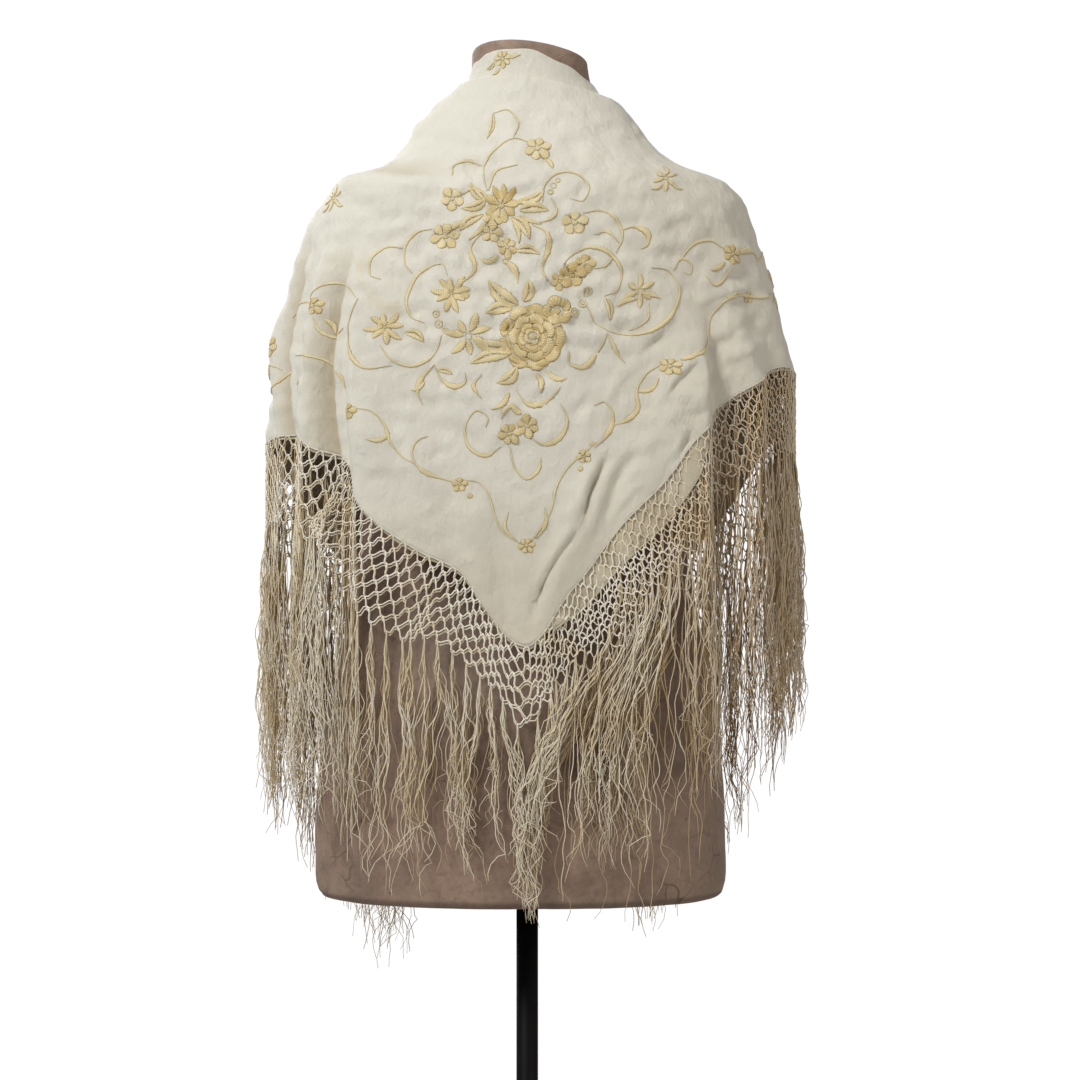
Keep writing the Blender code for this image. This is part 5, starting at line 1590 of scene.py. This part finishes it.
def stain_group():
    """Old stains: patches with a darker rim, from slow noise cut by a threshold."""
    g, given, out = new_group("old_stain", {"Size": 9.0, "Amount": 0.5}, ("Mask", "Rim"))
    patches = g.noise(given["Vector"], given["Size"], 4.0, 0.55, 0.6)
    edge = g.math("SUBTRACT", 0.78, g.times(given["Amount"], 0.3))
    mask = g.spread(patches, edge, g.plus(edge, 0.12))
    inner = g.spread(patches, g.plus(edge, 0.05), g.plus(edge, 0.16))
    g.feed(out["Mask"], mask)
    g.feed(out["Rim"], g.math("SUBTRACT", mask, inner, clamp=True))
    return g.tree


def ply_group():
    """Twisted thread: slanting plies as a height, and a change of tone along and between threads."""
    g, given, out = new_group("thread_ply", {"Tone": 0.5, "Twist": 420.0}, ("Height", "Shade"))
    turns = g.add("ShaderNodeMapping", {"Vector": given["Vector"], "Rotation": (0.0, 0.7, 0.0)})[0]
    g.feed(out["Height"], g.wave(turns, given["Twist"], 0.6, "Z"))
    g.feed(out["Shade"], g.scaled(g.noise(given["Vector"], 40.0, 2.0), 0.5, g.times(given["Tone"], 0.5)))
    return g.tree


GROUPS = {"crepe": crepe_group(), "stain": stain_group(), "ply": ply_group()}


def new_material(name, roughness, **constants):
    """A material with its shader, and the constants set on the shader's own sockets."""
    material = bpy.data.materials.new(name)
    material.use_nodes = True
    t = Tree(material.node_tree)
    t.dress(Roughness=roughness, **constants)
    return material, t


def silk_material(name, base, worn):
    """Warm ivory silk with a faint sheen, crepe grain, soft crinkles and stains, and painted shade: browner
    towards the point and on the right side, and darker in its deeper creases."""
    material, t = new_material(name, 0.62, Sheen_Weight=0.25, Sheen_Roughness=0.45, Specular_IOR_Level=0.35)
    place = t.place()
    weave = t.group("crepe", Vector=place, Grain=900.0, Crinkle=1.0)
    stain = t.group("stain", Vector=place, Size=8.0, Amount=0.5)
    spots = t.group("stain", Vector=place, Size=46.0, Amount=0.15)
    x, _, z = t.axes(place)
    # painted shade: darker and browner towards the lower point and on the right side
    lower_right_shade = t.scaled(t.spread(x, 0.0, 0.16), 0.30, t.times(t.spread(z, 1.05, 0.86), 0.60))
    colour = t.mix(lower_right_shade, t.mix(weave["Tone"], base, worn), rgba(208, 195, 170))
    colour = t.coats(
        colour,
        # the tone attribute carries the painted shade of the deeper creases
        (t.tone(), 0.62, (184, 163, 122)),
        (stain["Mask"], 0.55, (230, 219, 186)),
        (stain["Rim"], 0.25, (206, 188, 150)),
        (spots["Mask"], 0.30, (196, 176, 138)),
    )
    t.dress(Base_Color=colour, Roughness=t.scaled(weave["Tone"], 0.16, 0.54),
            Normal=t.bump(weave["Height"], 0.85, 0.0056))
    return material


def floss_material():
    """Embroidery floss: lustrous satin stitches that lie across each stroke, cream to gold by its tone,
    with painted shade between the stitches and along the stroke's edges."""
    material, t = new_material("satin_floss", 0.42, Sheen_Weight=0.2, Specular_IOR_Level=0.5)
    place = t.place()
    across, along, _ = t.axes(t.add("ShaderNodeUVMap", {}, uv_map="UV")[0])
    slant = t.scaled(across, 0.0011, along)
    jitter = t.times(t.noise(place, 700.0, 2.0), 0.0009)
    stitch = t.scaled(t.math("SINE", t.times(t.plus(slant, jitter), 3300.0)), 0.5, 0.5)
    patch = t.scaled(t.noise(place, 120.0, 2.0), 0.5, -0.25)
    share = t.math("ADD", t.times(t.tone(), 0.85), patch, clamp=True)
    colour = t.coats(
        t.mix(share, rgba(235, 223, 181), rgba(200, 175, 112)),
        # painted shade between the stitches, and along each stroke's edges
        (t.math("SUBTRACT", 1.0, stitch), 0.30, (168, 138, 80)),
        (t.spread(t.math("ABSOLUTE", across), 0.60, 0.92), 0.60, (142, 110, 58)),
    )
    t.dress(Base_Color=colour, Roughness=t.scaled(stitch, -0.12, 0.50), Normal=t.bump(stitch, 0.6, 0.0005))
    return material


def thread_material(name, light, dark, warm):
    """Knotting silk: twisted, dull, unevenly yellowed threads, with painted shade that browns them on the
    right side.
    """
    material, t = new_material(name, 0.6, Sheen_Weight=0.15, Specular_IOR_Level=0.35)
    place = t.place()
    ply = t.group("ply", Vector=place, Tone=t.tone(), Twist=520.0)
    stain = t.group("stain", Vector=place, Size=12.0, Amount=0.9)
    right_side_shade = t.spread(t.axes(place)[0], 0.08, 0.20)
    # painted shade: browner on the right side
    colour = t.coats(t.mix(ply["Shade"], dark, light), (right_side_shade, 0.50, (176, 140, 88)))
    t.dress(Base_Color=t.mix(t.times(stain["Mask"], 0.45), colour, warm),
            Roughness=t.scaled(ply["Height"], 0.15, 0.52), Normal=t.bump(ply["Height"], 0.35, 0.0003))
    return material


NAIL_SPOT = (-0.124, -0.096, 0.6425)


def papier_mache_material():
    """Old papier-mache: overlapping sheets of brown paper under a worn wash, with a painted shadow where the
    shawl hangs over it behind and painted shade on its right side, with fine cracks, scuffs, dark spots,
    a grimy lower rim and one nail hole near it."""
    material, t = new_material("old_papier_mache", 0.7, Specular_IOR_Level=0.35)
    place = t.place()
    x, y, z = t.axes(place)
    mottle = t.noise(place, 14.0, 6.0, 0.62, 0.5)
    fine = t.noise(place, 160.0, 4.0, 0.6)
    wash = t.noise(place, 4.0, 3.0, 0.5, 0.8)
    wobble = t.add("ShaderNodeTexNoise", {"Vector": place, "Scale": 22.0})["Color"]
    wobble = t.add("ShaderNodeVectorMath", {0: wobble, "Scale": 0.035}, operation="SCALE")[0]
    bent = t.add("ShaderNodeVectorMath", {0: place, 1: wobble}, operation="ADD")[0]
    cracks = t.spread(t.cells(bent, 17.0, "DISTANCE_TO_EDGE"), 0.0, 0.012, 1.0, 0.0)
    cracks = t.times(cracks, t.spread(t.noise(place, 9.0, 2.0), 0.56, 0.68))
    spots = t.spread(t.cells(place, 75.0), 0.05, 0.16, 1.0, 0.0)
    spots = t.times(spots, t.spread(t.noise(place, 19.0, 2.0), 0.52, 0.66))
    wrinkles = t.off_middle(t.noise(bent, 42.0, 5.0, 0.6, 0.7))
    above_hem = t.math("SUBTRACT", z, t.math("ABSOLUTE", x))
    shawl_shadow = t.times(t.spread(above_hem, 0.82, 0.90), t.spread(z, 1.36, 1.30))
    nail = t.add("ShaderNodeVectorMath", {0: place, 1: NAIL_SPOT}, operation="DISTANCE")["Value"]
    colour = t.coats(
        t.mix(t.spread(mottle, 0.32, 0.68), rgba(116, 94, 80), rgba(156, 131, 113)),
        (t.spread(wash, 0.42, 0.66), 0.45, (164, 146, 130)),
        # painted shadow: dark brown where the shawl hangs over the back
        (t.times(shawl_shadow, t.spread(y, 0.06, -0.02)), 0.85, (92, 58, 28)),
        # painted shade: darker on the right side
        (t.spread(x, 0.02, 0.19), 0.35, (98, 76, 60)),
        (t.spread(fine, 0.45, 0.75), 0.40, (104, 84, 70)),
        (t.spread(wrinkles, 0.0, 0.035, 1.0, 0.0), 0.07, (180, 166, 152)),
        (t.spread(z, 0.639, 0.634), 0.55, (62, 44, 34)),
        (t.spread(nail, 0.0036, 0.0022), 0.90, (28, 18, 14)),
        (cracks, 0.60, (66, 46, 36)),
        (spots, 0.60, (78, 54, 42)),
    )
    height = t.scaled(t.cells(bent, 11.0), 0.35, t.times(fine, 0.35))
    height = t.scaled(cracks, -0.7, t.scaled(wrinkles, -1.6, height))
    t.dress(Base_Color=colour, Roughness=t.scaled(mottle, 0.25, 0.52), Normal=t.bump(height, 0.65, 0.0022))
    return material


def steel_material():
    """Black painted steel: faint orange peel and dust."""
    material, t = new_material("black_painted_steel", 0.5, Specular_IOR_Level=0.14)
    place = t.place()
    dust_and_shade, peel = t.noise(place, 38.0, 5.0, 0.65), t.noise(place, 700.0, 2.0)
    t.dress(Base_Color=t.mix(t.times(t.spread(dust_and_shade, 0.5, 0.8), 0.35), rgba(4, 4, 4), rgba(26, 24, 23)),
            Roughness=t.scaled(dust_and_shade, 0.3, 0.42), Normal=t.bump(peel, 0.15, 0.0002))
    return material


def floor_material():
    """Pale matt floor with a faint unevenness."""
    material, t = new_material("pale_floor", 0.8)
    t.dress(Base_Color=t.mix(t.noise(t.place(), 3.0, 4.0), rgba(232, 231, 228), rgba(240, 239, 237)))
    return material


# Light and camera
CAMERA_SPOT = (0.012, -2.2, 0.961)
LENS = 78.013


def build_floor():
    """A round pale floor: rings about the pole's axis, with a small rounded drop at the rim."""
    around = 96
    rings = [np.column_stack([radius * circle(around), np.full(around, height)])
             for radius, height in ((0.3, 0.0), (0.8, 0.0), (1.14, 0.0), (1.15, -0.002), (1.15, -0.02))]
    points = np.concatenate(rings + [np.zeros((1, 3))])
    faces = grid_faces(len(rings), around, closed=True)[:, ::-1].tolist()
    faces += fan(len(rings) * around, 0, around, True).tolist()
    mesh = bpy.data.meshes.new("pale_floor")
    mesh.from_pydata(points.tolist(), [], faces)
    mesh.materials.append(floor_material())
    floor = bpy.data.objects.new("pale_floor", mesh)
    bpy.context.scene.collection.objects.link(floor)


def build_stage():
    """The floor, soft large lights, a white surround, and the camera at the photograph's angle."""
    build_floor()
    scene = bpy.context.scene
    world = bpy.data.worlds.new("white_room")
    world.use_nodes = True
    t = Tree(world.node_tree)
    background = world.node_tree.nodes["Background"]
    seen = t.add("ShaderNodeLightPath", {})["Is Camera Ray"]
    t.feed(background.inputs["Strength"], t.scaled(seen, 0.71, 0.31))
    background.inputs["Color"].default_value = (1.0, 1.0, 1.0, 1.0)
    scene.world = world

    for name, spot, aim, size, power, tint in (
        ("key_light", (-1.5, -1.8, 2.6), (0.0, 0.0, 1.1), 0.6, 53.0, (1.0, 1.0, 1.0)),
        ("fill_light", (2.3, -1.8, 1.6), (0.0, 0.0, 1.0), 1.4, 19.0, (1.0, 0.94, 0.85)),
        ("top_light", (-0.3, 0.1, 3.2), (0.0, 0.0, 1.0), 1.6, 7.0, (1.0, 1.0, 1.0)),
        ("rear_light", (-1.2, 2.4, 2.2), (0.0, 0.0, 1.0), 1.6, 34.0, (1.0, 1.0, 1.0)),
    ):
        data = bpy.data.lights.new(name, "AREA")
        data.size = size
        data.energy = power
        data.color = tint
        lamp = bpy.data.objects.new(name, data)
        scene.collection.objects.link(lamp)
        lamp.location = spot
        lamp.rotation_euler = (Vector(aim) - Vector(spot)).to_track_quat("-Z", "Y").to_euler()

    data = bpy.data.cameras.new("camera")
    data.lens = LENS
    data.clip_end = 50.0
    camera = bpy.data.objects.new("camera", data)
    camera.location = CAMERA_SPOT
    camera.rotation_euler = (np.pi / 2, 0.0, 0.0)
    scene.collection.objects.link(camera)
    scene.camera = camera
    scene.view_settings.view_transform = "Standard"


def surface_area(piece):
    """The area of a sheet's faces before it gets its thickness."""
    sizes = np.empty(len(piece.data.polygons))
    piece.data.polygons.foreach_get("area", sizes)
    return float(sizes.sum())


def build_everything():
    silk = silk_material("ivory_silk", rgba(240, 236, 221), rgba(229, 224, 208))
    # The under layer's silk is a darker, browner copy of the same silk: painted shade for the cloth that
    # hangs behind the outer fall and the net
    shaded_under_silk = silk_material("ivory_silk_painted_shade", rgba(214, 203, 176), rgba(200, 188, 160))
    net_thread = thread_material("net_thread", rgba(253, 249, 238), rgba(232, 220, 192),
                                 rgba(220, 198, 150))
    threads = {
        "outer": thread_material("fringe_thread", rgba(250, 243, 224), rgba(208, 190, 150),
                                 rgba(202, 174, 120)),
        # The under fringe's thread is a darker, browner copy of the fringe thread: painted shade for the
        # strands that hang behind
        "under": thread_material("fringe_thread_painted_shade", rgba(226, 209, 172), rgba(172, 146, 104),
                                 rgba(172, 140, 90)),
    }
    floss = floss_material()
    papier_mache = papier_mache_material()

    form = build_torso(papier_mache)
    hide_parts("form_torso")
    for node, piece in build_stand(steel_material()).items():
        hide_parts(node)

    outer = build_outer_fall(silk)
    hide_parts("shawl_left_end", "shawl_left_side", "shawl_back_fall", "shawl_right_side",
                "shawl_right_end")
    under = build_under_fall(shaded_under_silk)
    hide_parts("shawl_under_fall")
    collar = build_neck_fold(silk)
    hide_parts("shawl_neck_fold")
    hems = {"outer": build_hem("outer", silk), "under": build_hem("under", shaded_under_silk)}

    trimmings = {}
    for fall, seed in (("outer", 31), ("under", 47)):
        nets, roots = build_net(fall, net_thread, seed)
        fringes = build_fringe(fall, roots, threads[fall], seed + 3)
        for side, net, fringe in zip(("left", "right"), nets, fringes):
            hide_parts(f"net_{fall}_{side}")
            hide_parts(f"fringe_{fall}_{side}")
        trimmings[fall] = [hems[fall], *nets, *fringes]

    back_strokes = worked(MIDDLE_BOUQUET + BACK_VINES)
    for spot in LEAFY_STAR_SPOTS:
        back_strokes += worked(LEAFY_STAR, spot)
    back_work = lay_strokes("embroidery_back", back_strokes, OUTER_FACE, floss)
    side_work = lay_strokes("embroidery_sides", side_vines(), OUTER_FACE, floss)
    collar_work = lay_strokes("embroidery_collar", worked(COLLAR_SPRAY), UNDER_FACE, floss)

    # What shows of the cut square: a triangle for the fall, a strip for the under layer and one for the
    # neck fold
    outer_area, under_area, collar_area = (surface_area(p) for p in (outer, under, collar))
    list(trimmings["outer"])
    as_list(trimmings["under"])


build_stage()
build_everything()
